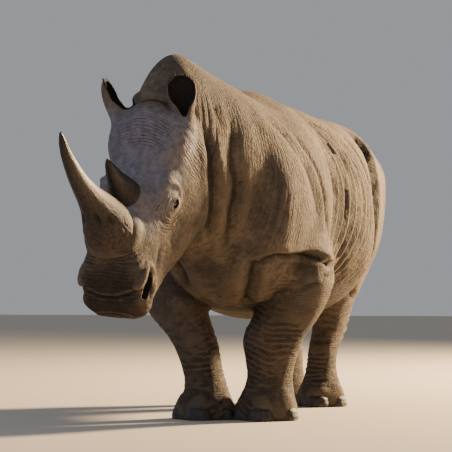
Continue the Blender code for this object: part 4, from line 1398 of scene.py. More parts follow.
def tube_faces(rings: int, count: int) -> list[Array]:
    """The faces of a tube of rings, with a cap of triangles round an extra point at each end.

    Args:
        rings: How many rings.
        count: Points in a ring; the two end points follow the rings.

    Returns:
        Quads and triangles, facing outward where the rings turn to the left round their path.
    """
    step = np.arange(count)
    ring = np.arange(rings - 1)[:, None] * count
    after = np.roll(step, -1)
    beyond = ring + count
    quads = np.stack([ring + step, ring + after, beyond + after, beyond + step], -1).reshape(-1, 4)
    top = (rings - 1) * count
    start = np.stack([np.full(count, rings * count), after, step], -1)
    end = np.stack([np.full(count, rings * count + 1), top + step, top + after], -1)
    return [quads, start, end]


def unit_sphere(sides: int, rings: int, gap: float) -> Array:
    """Rings of points on a sphere of radius 1, all but that angle at top and foot, and its poles."""
    turn, drop = np.meshgrid(np.linspace(0, tau, sides, endpoint=False), np.linspace(gap, pi - gap, rings))
    ball = np.stack([np.sin(drop) * np.cos(turn), np.sin(drop) * np.sin(turn), np.cos(drop)], -1)
    return np.concatenate([ball.reshape(-1, 3), [UP, -UP]])


@dataclass(frozen=True)
class Horn:
    """A horn of packed fibres: round across, with grooves along it and a frayed skirt at its base.

    Its surface is a function of angle and height: the middle line and radii are smooth curves through the
    rows, changed by fibre grooves, lumps at the frayed base and faint growth rings. A chip is a dent: its
    turn, its place along the horn, its widths round and along, and its depth.
    """

    name: str
    rows: tuple[tuple[float, float, float, float], ...]
    groove: float
    fray: float
    seed: int
    sides: int = 220
    rings: int = 300
    chips: tuple[tuple[float, float, float, float, float], ...] = ()
    ring_pitch: float = 0.020

    def surface(self, angle: Array, share: Array) -> tuple[Array, Array]:
        """The horn's points and groove depth at angles and shares of its length.

        Args:
            angle: Round the horn, from the muzzle's side.
            share: 0 at the base and 1 at the tip.

        Returns:
            Points in the head's axes, and the depth of the fibre grooves, 0 to 1.
        """
        rows = np.array(self.rows)
        knots = np.concatenate([[0], np.cumsum(np.linalg.norm(np.diff(rows[:, :2], axis=0), axis=1))])
        at = share * knots[-1]
        along, rise, long, wide = (smooth_curve(at, knots, rows[:, i]) for i in range(4))
        base = 1 - fade(0.04, 0.30, share)
        circle = np.stack([np.cos(angle), np.sin(angle), at / 0.11], -1).reshape(-1, 3)
        bent = circle + 0.25 * noise(circle * 2.5, 1.0, self.seed)[:, None]
        fibre = noise(bent * (24, 24, 0.9), 1.0, self.seed).reshape(angle.shape)
        coarse = noise(bent * (7, 7, 0.8), 1.0, self.seed + 1).reshape(angle.shape)
        lumps = layered(bent * (2.2, 2.2, 3.0), 1.0, 4, self.seed + 2).reshape(angle.shape)
        chips = sum(
            depth * np.exp(-(((angle - turn + pi) % tau - pi) / wide_turn) ** 2 - ((at - place) / tall) ** 2)
            for turn, place, wide_turn, tall, depth in self.chips
        )
        rings = np.sin(at / self.ring_pitch + 3.0 * coarse) * (0.25 + 0.6 * base)
        relief = self.groove * ((0.35 + 0.65 * base) * fibre + (0.35 + 0.8 * base) * coarse)
        relief += self.fray * base * lumps + 0.0008 * rings - chips
        relief *= np.clip((1 - share) * 12, 0.1, 1)
        x = along + (long + relief) * np.cos(angle)
        y = (wide + relief) * np.sin(angle)
        depth = np.clip(0.4 - 0.5 * fibre * base - 0.8 * lumps * base - 0.2 * coarse + 90 * chips, 0, 1)
        return np.stack([x, y, np.broadcast_to(rise, x.shape)], -1), depth

    def build(self) -> bpy.types.Object:
        """Makes the horn.

        Returns:
            The object, with its groove depth and height as attributes.
        """
        step = 1
        sides, rings = self.sides // step, self.rings // step
        angle, share = np.meshgrid(np.linspace(0, tau, sides, endpoint=False), np.linspace(0, 1, rings))
        local, depth = self.surface(angle, share)
        local = local.reshape(-1, 3)
        ends = np.stack([local[:sides].mean(0), local[-sides:].mean(0) + (0, 0, 0.002)])
        points = HEAD.point(np.concatenate([local, ends])) + SHIFT
        item = mesh_object(self.name, points, tube_faces(rings, sides))
        # The grooves' depth, which the finish paints as shade.
        write_attribute(item, "hollow", np.concatenate([depth.ravel(), [0.5, 0.5]]))
        write_attribute(item, "height", np.concatenate([share.ravel(), [0, 1]]))
        return item


@dataclass(frozen=True)
class Eyes:
    """Both eyeballs: spheres with a slightly fuller cornea, on which iris and pupil are drawn."""

    place: Place
    radius: float
    gaze: Place
    cornea: float = 0.0012
    rings: int = 48

    def build(self) -> bpy.types.Object:
        """Makes both eyeballs as one mesh, their poles on the line of sight.

        Returns:
            The object, with the distance from the line of sight as attribute "iris".
        """
        sides = 2 * self.rings
        sphere = unit_sphere(sides, self.rings, 0.03)
        swell = self.cornea * np.exp(-((np.arccos(sphere[:, 2]) / 0.45) ** 2))
        ball = sphere * (self.radius + swell)[:, None]
        points, faces, iris = [], [], []
        for number, side in enumerate(SIDES):
            sight = unit(sided(self.gaze, side))
            flat = unit(np.cross(sight, UP))
            axes = np.stack([flat, np.cross(sight, flat), sight])
            points.append(HEAD.point(sided(self.place, side) + ball @ axes) + SHIFT)
            faces += [group[:, ::-1] + number * len(ball) for group in tube_faces(self.rings, sides)]
            iris.append(np.hypot(ball[:, 0], ball[:, 1]) + (ball[:, 2] < 0) * 0.02)
        item = mesh_object("eyes", np.concatenate(points), faces)
        write_attribute(item, "iris", np.concatenate(iris))
        return item


@dataclass(frozen=True)
class Nails:
    """The toenails: thick curved plates with growth ridges, one before each toe."""

    legs: tuple[Leg, ...]
    long: float = 0.052
    tall: float = 0.066
    floor: float = 0.003

    def build(self) -> bpy.types.Object:
        """Makes all twelve as one mesh.

        A nail is a squared ellipsoid before its toe, ridged by a sine of its height and flat underneath.

        Returns:
            The object, with its height in the nail as attribute "height".
        """
        rings, sides = ((48, 80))
        ball = unit_sphere(sides, rings, 0.02)
        points, faces, heights = [], [], []
        for leg in self.legs:
            for bearing, half in leg.toes:
                rough = noise(ball * (1, 1, 4), 0.35, len(points))
                ridged = 1 + 0.012 * np.sin(ball[:, 2] * 16) + 0.010 * rough
                square = np.abs(ball) ** 0.86 * np.sign(ball)
                local = square * (self.long, 1.08 * half, self.tall) * ridged[:, None]
                local += (leg.reach(bearing) + 0.022, 0, 0.010)
                local[:, 2] = np.maximum(local[:, 2], self.floor)
                faces += [group[:, ::-1] + len(ball) * len(points) for group in tube_faces(rings, sides)]
                points.append(leg.toe(bearing).point(local) + SHIFT)
                heights.append(np.clip(local[:, 2] / self.tall, 0, 1))
        item = mesh_object("toenails", np.concatenate(points), faces)
        write_attribute(item, "height", np.concatenate(heights))
        return item


@dataclass(frozen=True)
class Hairs:
    """Stiff hairs as solid tapering tufts, each a curved cone with its own place on the bake map."""

    name: str
    sides: int = 5
    rings: int = 6

    LEAN = np.array([0.31, 0.17, 0.93])
    PATCH = 0.003

    def build(
        self, roots: Array, aims: Array, sags: Array, lengths: Array, radii: Array, places: Array
    ) -> bpy.types.Object:
        """Makes all the tufts as one mesh.

        A tuft's middle line is root + length (t aim + t squared sag), and its radius falls as (1 - t)^0.7.

        Args:
            roots: Where each starts.
            aims: Its direction at the root.
            sags: How far it has bent at its tip, for one unit of length.
            lengths: Its length.
            radii: Its radius at the root.
            places: Its root's place on the unwrap of the skin under it, 0 to 1.

        Returns:
            The object with UV map OFBake.
        """
        t = np.linspace(0, 0.97, self.rings)[None, :, None]
        line = roots[:, None] + lengths[:, None, None] * (t * aims[:, None] + t**2 * sags[:, None])
        ahead = unit(aims[:, None] + 2 * t * sags[:, None])
        side = unit(np.cross(ahead, self.LEAN))
        deep = np.cross(ahead, side)
        turn = np.linspace(0, tau, self.sides, endpoint=False)[None, None, :, None]
        thick = radii[:, None, None, None] * ((1 - t) ** 0.7)[..., None]
        rings = line[:, :, None] + thick * (np.cos(turn) * side[:, :, None] + np.sin(turn) * deep[:, :, None])
        tips = roots + lengths[:, None] * (aims + sags)
        each = np.concatenate([rings.reshape(len(roots), -1, 3), roots[:, None], tips[:, None]], 1)
        stride = each.shape[1]
        start = (np.arange(len(roots)) * stride)[:, None, None]
        tube = tube_faces(self.rings, self.sides)
        faces = [(group[None] + start).reshape(-1, group.shape[1]) for group in tube]
        item = mesh_object(self.name, each.reshape(-1, 3) + SHIFT, faces)
        u, v = np.meshgrid(np.arange(self.sides) / self.sides, np.arange(self.rings) / self.rings)
        patch = np.concatenate([np.stack([u, v], -1).reshape(-1, 2), [[0.5, 0], [0.5, 1]]]) * self.PATCH
        spots = (places[:, None] + patch[None]).reshape(-1, 2)
        corner = np.empty(len(item.data.loops), np.int32)
        item.data.loops.foreach_get("vertex_index", corner)
        layer = item.data.uv_layers.new(name="OFBake")
        layer.uv.foreach_set("vector", spots[corner].astype(np.float32).ravel())
        return item


@dataclass(frozen=True)
class TailTuft:
    """The bristles round the tail's end, from its skin down to near their solid's foot."""

    start: tuple[float, float] = (-1.2625, 0.865)
    stop: tuple[float, float] = (-1.258, 0.610)
    tufts: int = 420
    longest: float = 0.20
    seed: int = 5

    def build(self) -> bpy.types.Object:
        """Makes the tuft.

        Returns:
            The object.
        """
        chance = np.random.default_rng(self.seed)
        count = self.tufts // 1
        share = chance.random(count) ** 0.8
        angle = chance.random(count) * tau
        low = np.array([0, -self.stop[0], self.start[1] - 0.125])
        high = np.array([0, -self.start[0], self.start[1]])
        middle = high + share[:, None] * (low - high)
        round_tail = np.stack([np.cos(angle), 0.62 * np.sin(angle), 0 * angle], -1)
        roots = middle + round_tail * (0.014 * (1 - 0.35 * share))[:, None]
        aims = unit(round_tail * 0.30 - UP + 0.06 * chance.normal(size=(count, 3)))
        sags = -0.20 * round_tail + 0.04 * chance.normal(size=(count, 3))
        floor = (middle[:, 2] - self.stop[1]) * 0.98
        lengths = np.minimum(self.longest * (0.55 + 0.45 * chance.random(count)), floor)
        radii = 0.0030 + 0.0014 * chance.random(count)
        places = np.stack([0.02 + 0.10 * angle / tau, 0.55 + 0.35 * share], -1)
        return Hairs("tail_bristles").build(roots, aims, sags, lengths, radii, places)


@dataclass(frozen=True)
class EarFringe:
    """The hairs on both ears' rims, longest at the tips."""

    ears: tuple[Ear, ...]
    tufts: int = 150
    length: float = 0.008
    tip_length: float = 0.024
    seed: int = 8

    def build(self) -> bpy.types.Object:
        """Makes the fringes of both ears.

        Returns:
            The object.
        """
        chance = np.random.default_rng(self.seed)
        parts = []
        count = self.tufts // 1
        for number, ear in enumerate(self.ears):
            rows = np.array(ear.rows)
            share = np.sort(chance.random(count)) ** 0.55
            at = 0.130 + 0.080 * share
            side = np.where(chance.random(count) < 0.5, -1.0, 1.0)
            half, front, back = (smooth_curve(at, rows[:, 0], rows[:, i]) for i in (1, 2, 3))
            turn = 0.25 + 0.25 * chance.random(count)
            across = side * (half - 0.004) * np.cos(turn)
            rise = (front + back) / 2 + (front - back) / 2 * np.sin(turn) - 0.002
            local = np.stack([at * ear.length, across, rise], -1)
            aim = np.stack([0.35 + 0.9 * share, side * (1.0 - 0.75 * share), 0.30 + 0 * share], -1)
            aim = unit(aim + 0.22 * chance.normal(size=(count, 3)))
            droop, bend = 0.25 * chance.random(count), 0.2 * chance.normal(size=count)
            sag = np.stack([droop, bend, np.full(count, -0.25)], -1)
            size = self.length + (self.tip_length - self.length) * share**3
            size = size * (0.5 + 0.5 * chance.random(count))
            radii = 0.0007 + 0.0005 * chance.random(count)
            spot = np.stack([0.20 + 0.3 * number + 0.1 * (side + 1) * turn, 0.1 + 0.35 * share], -1)
            axes = ear.frame.axes
            parts.append((ear.frame.point(local), aim @ axes, sag @ axes, size, radii, spot))
        return Hairs("ear_fringe", 4, 5).build(*map(np.concatenate, zip(*parts)))


@dataclass(frozen=True)
class Lashes:
    """Short stiff lashes on both eyes' upper lids."""

    place: Place
    slit: tuple[float, float] = (0.0240, 0.0150)
    tufts: int = 26
    length: float = 0.015
    seed: int = 3

    def build(self) -> bpy.types.Object:
        """Makes the lashes of both eyes.

        Returns:
            The object.
        """
        chance = np.random.default_rng(self.seed)
        parts = []
        for number, side in enumerate(SIDES):
            turn = np.linspace(0.15, 0.85, self.tufts) * pi + 0.03 * chance.normal(size=self.tufts)
            long, tall = self.slit
            flat, steep = np.cos(turn), np.sin(turn)
            local = np.stack([long * flat, np.full(self.tufts, 0.034), tall * steep + 0.010], -1)
            aim = np.stack([0.5 * flat, np.full(self.tufts, 0.8), 0.45 * steep + 0.2], -1)
            aim = unit(sided(aim, side) + 0.12 * chance.normal(size=aim.shape))
            roots = HEAD.point(sided(self.place, side) + sided(local, side))
            sags = np.full((self.tufts, 1), 0.2) * HEAD.along
            lengths = self.length * (0.6 + 0.4 * chance.random(self.tufts))
            spot = np.stack([0.85 + 0.05 * number + 0.03 * turn / pi, 0.8 + 0 * turn], -1)
            parts.append((roots, aim @ HEAD.axes, sags, lengths, np.full(self.tufts, 0.0006), spot))
        return Hairs("eyelashes", 4, 4).build(*map(np.concatenate, zip(*parts)))
class Slot(Enum):
    """The record's material slots."""

    SKIN = "rhino_skin"
    HORN = "horn_keratin"
    NAIL = "nail_keratin"
    EYE = "eye_cornea"
    HAIR = "bristle"


def linear(colour: str) -> tuple[float, float, float, float]:
    """A colour written as sRGB hex, as linear red, green, blue and alpha."""
    values = [int(colour[i : i + 2], 16) / 255 for i in (1, 3, 5)]
    light = [value / 12.92 if value <= 0.04045 else ((value + 0.055) / 1.055) ** 2.4 for value in values]
    return light[0], light[1], light[2], 1.0


Socket = bpy.types.NodeSocket
SMOOTH = {"interpolation_type": "SMOOTHSTEP", "clamp": True}
BLEND = {"data_type": "RGBA", "clamp_factor": True}


class Tree:
    """A material's nodes, written from the far end back to the shader."""

    def __init__(self, name: str, **sockets: float) -> None:
        self.material = bpy.data.materials.new(name)
        self.material.use_nodes = True
        self.graph = self.material.node_tree
        self.shader = self.graph.nodes["Principled BSDF"]
        self.feed(self.shader, {socket.replace("_", " "): value for socket, value in sockets.items()})

    def feed(self, node: bpy.types.Node, inputs: dict | tuple) -> None:
        """Links an output to each input of a node, or sets its value."""
        for name, value in inputs.items() if isinstance(inputs, dict) else enumerate(inputs):
            if isinstance(value, Socket):
                self.graph.links.new(value, node.inputs[name])
            else:
                node.inputs[name].default_value = value

    def add(self, kind: str, inputs: dict | tuple, output: int | str = 0, **settings: object) -> Socket:
        """Adds a node with its settings and links.

        Args:
            kind: Its type.
            inputs: A value or another node's output for each input, by name or number, or in order.
            output: Which output to hand back.
            settings: Its properties.

        Returns:
            That output.
        """
        node = self.graph.nodes.new("ShaderNode" + kind)
        for name, value in settings.items():
            setattr(node, name, value)
        self.feed(node, inputs)
        return node.outputs[output]

    def coat(self, ground: object, *coats: tuple[object, object]) -> Socket:
        """A ground colour with coats over it, each as its share and its colour."""
        for share, colour in coats:
            over = linear(colour) if isinstance(colour, str) else colour
            ground = self.add("Mix", {0: share, 6: ground, 7: over}, 2, **BLEND)
        return ground

    def patches(self, where: Socket, size_mm: float, detail: float, *limits: float) -> Socket:
        """Patches of that size: a noise carried from the first two limits to the other two, or to 0 and 1."""
        inputs = {"Vector": where, "Scale": 1000 / size_mm, "Detail": detail, "Roughness": 0.6}
        return self.add("MapRange", (self.add("TexNoise", inputs), *limits), **SMOOTH)

    def wrinkles(self, name: str, pitches: tuple[float, float, float], seed: float) -> tuple[object, object]:
        """Fine wrinkles across the values stored on the mesh, in metres of height and as a share of valley
        for painted shade.

        Each set is |sin| to the power 0.6 of the stored value over its pitch plus a wandering noise, and its
        height is that times its stored depth and a patchy noise.

        Args:
            name: The stored vectors' name, before "_lines" and "_depths".
            pitches: From one valley to the next, for each of the three sets.
            seed: How far the noise is moved.

        Returns:
            The height and the share.
        """
        add = self.add
        stored = (name + "_lines", name + "_depths")
        lines, depths = (add("Attribute", {}, "Vector", attribute_name=each) for each in stored)
        where = add("VectorMath", (add("TexCoord", {}, "Object"), (seed,) * 3), operation="ADD")
        height, valley = 0.0, 0.0
        for axis, pitch in zip("XYZ", pitches):
            line, depth = (add("SeparateXYZ", (vector,), axis) for vector in (lines, depths))
            loose = {"Vector": where, "Scale": 1 / (7 * pitch), "Detail": 3.0, "Roughness": 0.6}
            count = add("Math", (line, pi / pitch), operation="MULTIPLY")
            turn = add("Math", (add("TexNoise", loose), 8.0, count), operation="MULTIPLY_ADD")
            swing = add("Math", (add("Math", (turn,), operation="SINE"),), operation="ABSOLUTE")
            wave = add("Math", (swing, 0.6), operation="POWER")
            patchy = self.patches(where, 3500 * pitch, 2, 0.35, 0.60, 0.25, 1.2)
            deep = add("Math", (depth, patchy), operation="MULTIPLY")
            height = add("Math", (deep, wave, height), operation="MULTIPLY_ADD")
            # The share of valley, which the hide darkens as painted shade.
            low = add("MapRange", (wave, 0.10, 0.75, 1.0, 0.0), **SMOOTH)
            cut = add("MapRange", (deep, 0.0, 0.004), **SMOOTH)
            share = add("Math", (low, cut), operation="MULTIPLY")
            valley = add("Math", (valley, share), operation="MAXIMUM")
        return height, valley

    def finish(self, colour: object, roughness: object, *bumps: tuple) -> bpy.types.Material:
        """Feeds the shader.

        Args:
            colour: The base colour.
            roughness: The roughness.
            bumps: From the lowest up, the height, the depth of its full height in mm, and the strength.

        Returns:
            The material.
        """
        inputs = {"Base Color": colour, "Roughness": roughness}
        below = {}
        for height, depth_mm, strength in bumps:
            relief = {"Height": height, "Distance": depth_mm / 1000, "Strength": strength}
            below = {"Normal": self.add("Bump", relief | below)}
        self.feed(self.shader, inputs | below)
        return self.material


@dataclass(frozen=True)
class Hide:
    """Thick grey hide, dry and dusty, with dark cracks. Painted shade darkens its folds, hollows, wrinkles'
    valleys and openings, and partly its muzzle and lower legs; a painted highlight lightens raised rolls, and
    painted cool skylight partly lightens the forehead.
    """

    grey: str = "#4c453f"
    # Dusty tan in patches, also used as a painted highlight on raised rolls.
    dust_and_highlight: str = "#6c5f50"
    # Near black for the cracks, and for painted shade in folds, hollows and openings.
    earth_and_shade: str = "#15110e"
    # The face's cooler grey, partly painted cool skylight.
    slate_and_skylight: str = "#76737a"
    # Dark brown for the muzzle and lower legs, partly muddy hide and partly painted shade.
    mud_and_shade: str = "#2b231c"
    plate_mm: float = 8.5
    grain_mm: float = 3.2
    wrinkle_mm: float = 24.0
    head_pitches: tuple[float, float, float] = (0.0135, 0.0105, 0.0170)
    body_pitches: tuple[float, float, float] = (0.0210, 0.0125, 0.0150)

    def material(self) -> bpy.types.Material:
        """The hide's material: plates with wandering borders, drawn tall on the body and flat on the legs."""
        tree = Tree("dusty rhinoceros hide", Specular_IOR_Level=0.25)
        add = tree.add
        where = add("TexCoord", {}, "Object")
        stored = ("hollow", "face", "ear", "lip")
        hollow, face, ear, lip = (add("Attribute", {}, "Fac", attribute_name=name) for name in stored)
        across, ahead, high = (add("SeparateXYZ", (where,), axis) for axis in "XYZ")
        mottle = tree.patches(where, 30, 6, 0.3, 0.7, 0.72, 1.20)
        ground = tree.coat(
            linear(self.grey),
            (tree.patches(where, 300, 5, 0.36, 0.66), self.dust_and_highlight),
            # The forehead's lighter cool grey: partly its own tone, partly painted cool skylight on a face in
            # shade.
            (add("Math", (face, 0.85), operation="MULTIPLY"), self.slate_and_skylight),
            # The muzzle's end darker: partly muddy hide, partly painted shade.
            (add("Math", (lip, 0.92), operation="MULTIPLY"), self.mud_and_shade),
            # Darker towards the ground: partly muddy legs, partly painted shade.
            (add("MapRange", (high, 0.15, 0.85, 0.70, 0.0), **SMOOTH), self.mud_and_shade),
        )
        shade = {0: 1.0, 6: ground, 7: add("CombineColor", (mottle,) * 3)}
        ground = add("Mix", shade, 2, blend_type="MULTIPLY", **BLEND)
        low = add("Math", (high, 0.62), operation="MINIMUM")
        whole = add("Math", (high, 0.55), operation="MULTIPLY")
        upright = add("Math", (low, 1.1, whole), operation="MULTIPLY_ADD")
        drawn = add("CombineXYZ", (across, ahead, upright))
        push = add("TexNoise", {"Vector": where, "Scale": 1000 / self.plate_mm, "Detail": 2.0}, "Color")
        moved = add("VectorMath", (push, (0.008,) * 3, drawn), operation="MULTIPLY_ADD")
        plates, grain, broad = (
            add("TexVoronoi", {"Vector": moved, "Scale": 1000 / size_mm}, feature="DISTANCE_TO_EDGE")
            for size_mm in (self.plate_mm, self.grain_mm, self.wrinkle_mm)
        )
        cracks = add("MapRange", (plates, 0.0, 0.16, 0.45, 0.0), **SMOOTH)
        calm = add("MapRange", (face, 0.0, 0.9, 1.0, 0.15), **SMOOTH)
        for share in (tree.patches(where, 90, 3, 0.38, 0.62), calm):
            cracks = add("Math", (cracks, share), operation="MULTIPLY")
        head_folds, head_valley_shade = tree.wrinkles("head", self.head_pitches, 3.0)
        body_folds, body_valley_shade = tree.wrinkles("body", self.body_pitches, 7.0)
        body_valley_shade = add("Math", (body_valley_shade, 0.7), operation="MULTIPLY")
        valleys = add("Math", (head_valley_shade, body_valley_shade), operation="MAXIMUM")
        ground = tree.coat(
            ground,
            (cracks, self.earth_and_shade),
            # Painted shade in the fine wrinkles' valleys.
            (add("Math", (valleys, 0.75), operation="MULTIPLY"), self.earth_and_shade),
            # Painted shade in hollows and on the folds' walls.
            (add("MapRange", (hollow, 0.42, 0.95, 0.0, 0.92), **SMOOTH), self.earth_and_shade),
            # Painted highlight: raised rolls lighter.
            (add("MapRange", (hollow, 0.05, 0.34, 0.45, 0.0), **SMOOTH), self.dust_and_highlight),
            # Painted shade inside the ears, nostrils and eyes' slits.
            (add("MapRange", (ear, 0.5, 0.95, 0.0, 0.92), **SMOOTH), self.earth_and_shade),
        )
        grit = add("TexNoise", {"Vector": drawn, "Scale": 1000 / 14, "Detail": 5.0, "Roughness": 0.6})
        plate_strength = add("MapRange", (face, 0.0, 0.9, 0.55, 0.2), **SMOOTH)
        return tree.finish(
            ground,
            tree.patches(where, 9, 2, 0.3, 0.7, 0.74, 0.92),
            (add("MapRange", (broad, 0.0, 0.20), **SMOOTH), 2.2, 0.4),
            (add("Math", (head_folds, body_folds), operation="ADD"), 1000.0, 1.0),
            (grit, 2.4, 0.45),
            (add("MapRange", (plates, 0.0, 0.30), **SMOOTH), 1.1, plate_strength),
            (add("MapRange", (grain, 0.0, 0.35), **SMOOTH), 0.7, 0.5),
        )


@dataclass(frozen=True)
class Keratin:
    """Horn or nail: brown fibre, paler and frayed at the base, darker and smoother where it is rubbed, with
    painted shade in a horn's grooves.
    """

    name: str
    pale: str
    brown: str
    dark: str
    fibre_mm: float = 2.4
    rubbed: float = 0.42
    dry: float = 0.72
    grooved: bool = True
    groove_shade: str = "#17110d"
    stretch: float = 0.16

    def material(self) -> bpy.types.Material:
        """The keratin's material."""
        tree = Tree(self.name)
        add = tree.add
        where = add("TexCoord", {}, "Object")
        drawn = add("Mapping", {"Vector": where, "Scale": (1.0, 1.0, self.stretch)})
        height = add("Attribute", {}, "Fac", attribute_name="height")
        base = add("MapRange", (height, 0.05, 0.36, 1.0, 0.0), **SMOOTH)
        body = tree.coat(
            linear(self.brown),
            (tree.patches(drawn, 4 * self.fibre_mm, 4, 0.36, 0.60), self.dark),
            (add("Math", (base, tree.patches(drawn, 14, 4, 0.3, 0.6)), operation="MULTIPLY"), self.pale),
            (add("MapRange", (height, 0.60, 0.97, 0.0, 0.75), **SMOOTH), self.dark),
        )
        if self.grooved:
            hollow = add("Attribute", {}, "Fac", attribute_name="hollow")
            # Painted shade in the deep fibre grooves, between lumps and in the chips.
            body = tree.coat(body, (add("MapRange", (hollow, 0.55, 0.95, 0.0, 0.85), **SMOOTH), self.groove_shade))
        thin = {"Vector": drawn, "Scale": 1000 / self.fibre_mm, "Detail": 3.0, "Roughness": 0.6}
        lumps = {"Vector": where, "Scale": 1000 / 9, "Detail": 4.0, "Roughness": 0.6}
        frayed = add("MapRange", (height, 0.02, 0.45, 0.9, 0.15), **SMOOTH)
        rough = add("MapRange", (height, 0.2, 0.8, self.dry, self.rubbed), **SMOOTH)
        bumps = (add("TexNoise", thin), 2.6, 0.8), (add("TexNoise", lumps), 5.0, frayed)
        return tree.finish(body, rough, *bumps)


@dataclass(frozen=True)
class Cornea:
    """A wet dark eye: brown iris round a black pupil, brown-white at the corners."""

    pupil: str = "#050404"
    iris: str = "#2a160c"
    white: str = "#241811"
    iris_edge: tuple[float, float] = (0.013, 0.015)
    pupil_edge: tuple[float, float] = (0.005, 0.006)

    def material(self) -> bpy.types.Material:
        """The eye's material."""
        tree = Tree("wet dark eye", Coat_Weight=1.0, Coat_Roughness=0.03)
        away = tree.add("Attribute", {}, "Fac", attribute_name="iris")
        threads = tree.patches(tree.add("TexCoord", {}, "Object"), 1.5, 2, 0.3, 0.7)
        iris = tree.coat(linear(self.iris), (threads, self.pupil))
        edges = (self.pupil_edge, self.iris_edge)
        beyond, outside = (tree.add("MapRange", (away, *limits), **SMOOTH) for limits in edges)
        return tree.finish(tree.coat(linear(self.pupil), (beyond, iris), (outside, self.white)), 0.06)


@dataclass(frozen=True)
class Bristle:
    """Coarse near-black hair with a dull sheen."""

    colour: str = "#0f0b09"
    worn: str = "#241a13"

    def material(self) -> bpy.types.Material:
        """The bristles' material."""
        tree = Tree("coarse black bristle", Specular_IOR_Level=0.2)
        where = tree.add("TexCoord", {}, "Object")
        tint = tree.add("TexNoise", {"Vector": where, "Scale": 1000 / 12, "Detail": 2.0, "Roughness": 0.6})
        return tree.finish(tree.coat(linear(self.colour), (tint, self.worn)), 0.7)


@dataclass(frozen=True)
class Studio:
    """A pale floor, a low warm key behind the animal's left, weak fill from before it, and the camera."""

    floor: str = "#bcb4a8"
    sky: str = "#dfe3e8"
    sky_strength: float = 0.45
    half: float = 40.0
    distance: float = 11.0
    height: float = 0.65
    yaw: float = radians(15)
    aim: tuple[float, float] = (0.0, -0.70)
    slide: float = -0.0572
    pitch: float = radians(1.606)
    lens: float = 176.1
    chest: float = 0.9

    def build(self) -> None:
        """Makes the floor, the lights and the camera."""
        rim = self.half * np.array([[-1, -1, 0], [1, -1, 0], [1, 1, 0], [-1, 1, 0]])
        ground = mesh_object("studio_floor", rim, [np.array([[0, 1, 2, 3]])])
        ground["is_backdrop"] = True
        ground.data.materials.append(Tree("plain pale floor").finish(linear(self.floor), 0.9))
        world = bpy.data.worlds.new("studio")
        world.use_nodes = True
        sky = world.node_tree.nodes["Background"]
        sky.inputs["Color"].default_value = linear(self.sky)
        sky.inputs["Strength"].default_value = self.sky_strength
        bpy.context.scene.world = world
        self.light("key", (6.6, 8.4, 4.6), 1.2, 9000, "#ffd9a6")
        self.light("front", (4.5, -7.5, 3.5), 4.0, 40, "#fff0dc")
        self.light("fill", (-5.5, -6.5, 4.5), 5.0, 170, "#c4d4ff")
        self.camera()

    def light(self, name: str, place: Place, size: float, power: float, colour: str) -> None:
        """A square soft light of that side and power in watts, aimed at the animal's chest."""
        lamp = bpy.data.lights.new(name, "AREA")
        lamp.energy, lamp.size, lamp.color = power, size, linear(colour)[:3]
        item = bpy.data.objects.new(name, lamp)
        item.location = place
        item.rotation_euler = (Vector((0, 0, self.chest)) - Vector(place)).to_track_quat("-Z", "Y").to_euler()
        bpy.context.scene.collection.objects.link(item)

    def camera(self) -> None:
        """The camera before the animal's left shoulder, near the ground and far off."""
        back = Vector((sin(self.yaw), -cos(self.yaw), 0))
        right = Vector((cos(self.yaw), sin(self.yaw), 0))
        place = Vector((*self.aim, 0)) + self.distance * back + self.slide * right
        place.z = self.height
        ahead = -back * cos(self.pitch) + Vector((0, 0, sin(self.pitch)))
        up = Vector((0, 0, cos(self.pitch))) + back * sin(self.pitch)
        turned = Matrix((right, up, -ahead)).transposed().to_4x4()
        lens = bpy.data.cameras.new("camera")
        lens.lens, lens.sensor_width, lens.clip_end = self.lens, 36, 200
        item = bpy.data.objects.new("camera", lens)
        item.matrix_world = Matrix.Translation(place + Vector(SHIFT)) @ turned
        bpy.context.scene.collection.objects.link(item)
        bpy.context.scene.camera = item


# The legs' wrinkles are rows of lowest and highest place, pitch and height.
FORE_WRINKLES = ((0.14, 0.28, 0.024, 0.0050), (0.26, 0.46, 0.030, 0.0040), (0.26, 0.78, 0.021, 0.0028))
HIND_WRINKLES = ((0.13, 0.27, 0.024, 0.0055), (0.34, 0.52, 0.036, 0.0085), (0.26, 0.74, 0.020, 0.0024))
ELBOW = (((0.74, 0.290, 0.50), (0.12, 0.08, 0.10)),)
STIFLE = (((0.80, 0.265, -0.50), (0.17, 0.110, 0.17)),)

FRONT_HORN = (
    (0.708, -0.100, 0.115, 0.118),
    (0.706, -0.030, 0.116, 0.119),
    (0.698, 0.020, 0.110, 0.112),
    (0.692, 0.075, 0.098, 0.097),
    (0.690, 0.130, 0.083, 0.080),
    (0.692, 0.190, 0.068, 0.065),
    (0.695, 0.250, 0.056, 0.054),
    (0.697, 0.313, 0.047, 0.045),
    (0.694, 0.380, 0.040, 0.038),
    (0.684, 0.456, 0.032, 0.031),
    (0.663, 0.537, 0.023, 0.022),
    (0.644, 0.585, 0.015, 0.015),
    (0.628, 0.615, 0.006, 0.006),
)
CHIPS = (
    (0.35, 0.245, 0.16, 0.032, 0.016),
    (-0.75, 0.235, 0.14, 0.034, 0.016),
    (1.0, 0.215, 0.12, 0.026, 0.010),
    (0.0, 0.17, 0.10, 0.020, 0.006),
)
REAR_HORN = (
    (0.508, -0.120, 0.090, 0.080),
    (0.510, -0.036, 0.088, 0.078),
    (0.505, 0.010, 0.073, 0.063),
    (0.497, 0.075, 0.048, 0.041),
    (0.488, 0.140, 0.028, 0.025),
    (0.480, 0.182, 0.014, 0.013),
    (0.475, 0.198, 0.005, 0.005),
)


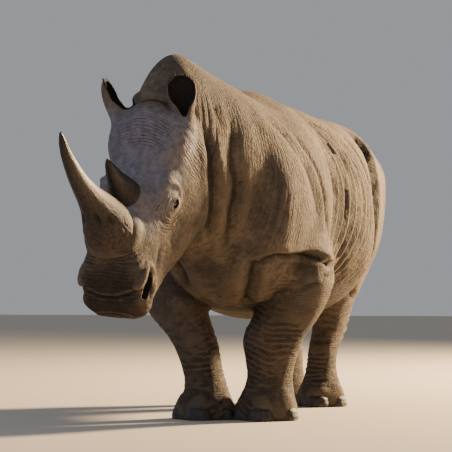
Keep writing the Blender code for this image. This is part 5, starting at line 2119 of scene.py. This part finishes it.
def dress(item: bpy.types.Object, slot: Slot, material: bpy.types.Material, *nodes: str) -> None:
    """Gives a piece its finish, sets it on the body, and hides the CAD nodes it replaces.

    Args:
        item: The piece.
        slot: The record's slot.
        material: Its material.
        nodes: The CAD nodes it stands for.
    """
    item.data.materials.append(material)
    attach(item, "root")
    if nodes:
        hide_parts(*nodes)
    LOG.info("%s: %d faces, slot %s", item.name, len(item.data.polygons), slot.value)


def corners() -> list[list[float]]:
    """The shown object's lowest and highest corners as plain lists."""
    return [list(map(float, corner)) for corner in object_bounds()]


def main() -> None:
    """Builds the animal piece by piece, then the studio."""
    logging.basicConfig(level=logging.INFO, format="%(message)s")
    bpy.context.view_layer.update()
    torso, head, tail = Torso(), Head(), Tail()
    fore = {"toe_ring": (0.155, 0.146), "wrinkles": FORE_WRINKLES, "swellings": ELBOW}
    hind = {"toe_ring": (0.135, 0.127), "wrinkles": HIND_WRINKLES, "swellings": STIFLE}
    legs = (
        Foreleg(1, (0.71, 0.157), **fore),
        Foreleg(-1, (0.71, 0.157), **fore, splay=0.12, brace=0.0, girth=0.88),
        Hindleg(1, (-0.60, 0.140), **hind),
        Hindleg(-1, (-0.86, 0.130), **hind),
    )
    hide, bristle = Hide().material(), Bristle().material()
    flesh = ("head", "neck", "trunk", "tail", "ear_left", "ear_right")
    limbs = ("foreleg_left", "foreleg_right", "hindleg_left", "hindleg_right")
    skin = Skin(torso, head, legs, tail, BODY_CREASES, HEAD_CREASES)
    dress(skin.build(), Slot.SKIN, hide, *flesh, *limbs)
    horn = Keratin("fibrous horn", "#4c3a30", "#342a24", "#15110f").material()
    front_horn = Horn("front_horn", FRONT_HORN, 0.0015, 0.008, 11, chips=CHIPS)
    dress(front_horn.build(), Slot.HORN, horn, "horn_front")
    rear_horn = Horn("rear_horn", REAR_HORN, 0.0014, 0.003, 23, 160, 120)
    dress(rear_horn.build(), Slot.HORN, horn, "horn_rear")
    nail = Keratin("worn toenail", "#4a3f34", "#332a22", "#1f1a15", 3.0, 0.55, 0.6, False).material()
    nails = [f"nail_{leg}_{toe}" for leg in limbs for toe in ("middle", "outer", "inner")]
    dress(Nails(legs).build(), Slot.NAIL, nail, *nails)
    eyes = Eyes(head.eye, head.eye_radius, head.gaze).build()
    dress(eyes, Slot.EYE, Cornea().material(), "eye_left", "eye_right")
    dress(EarFringe(head.ears).build(), Slot.HAIR, bristle)
    dress(Lashes(head.eye).build(), Slot.HAIR, bristle)
    dress(TailTuft().build(), Slot.HAIR, bristle, "tail_tuft")
    Studio().build()


if __name__ == "__main__":
    main()
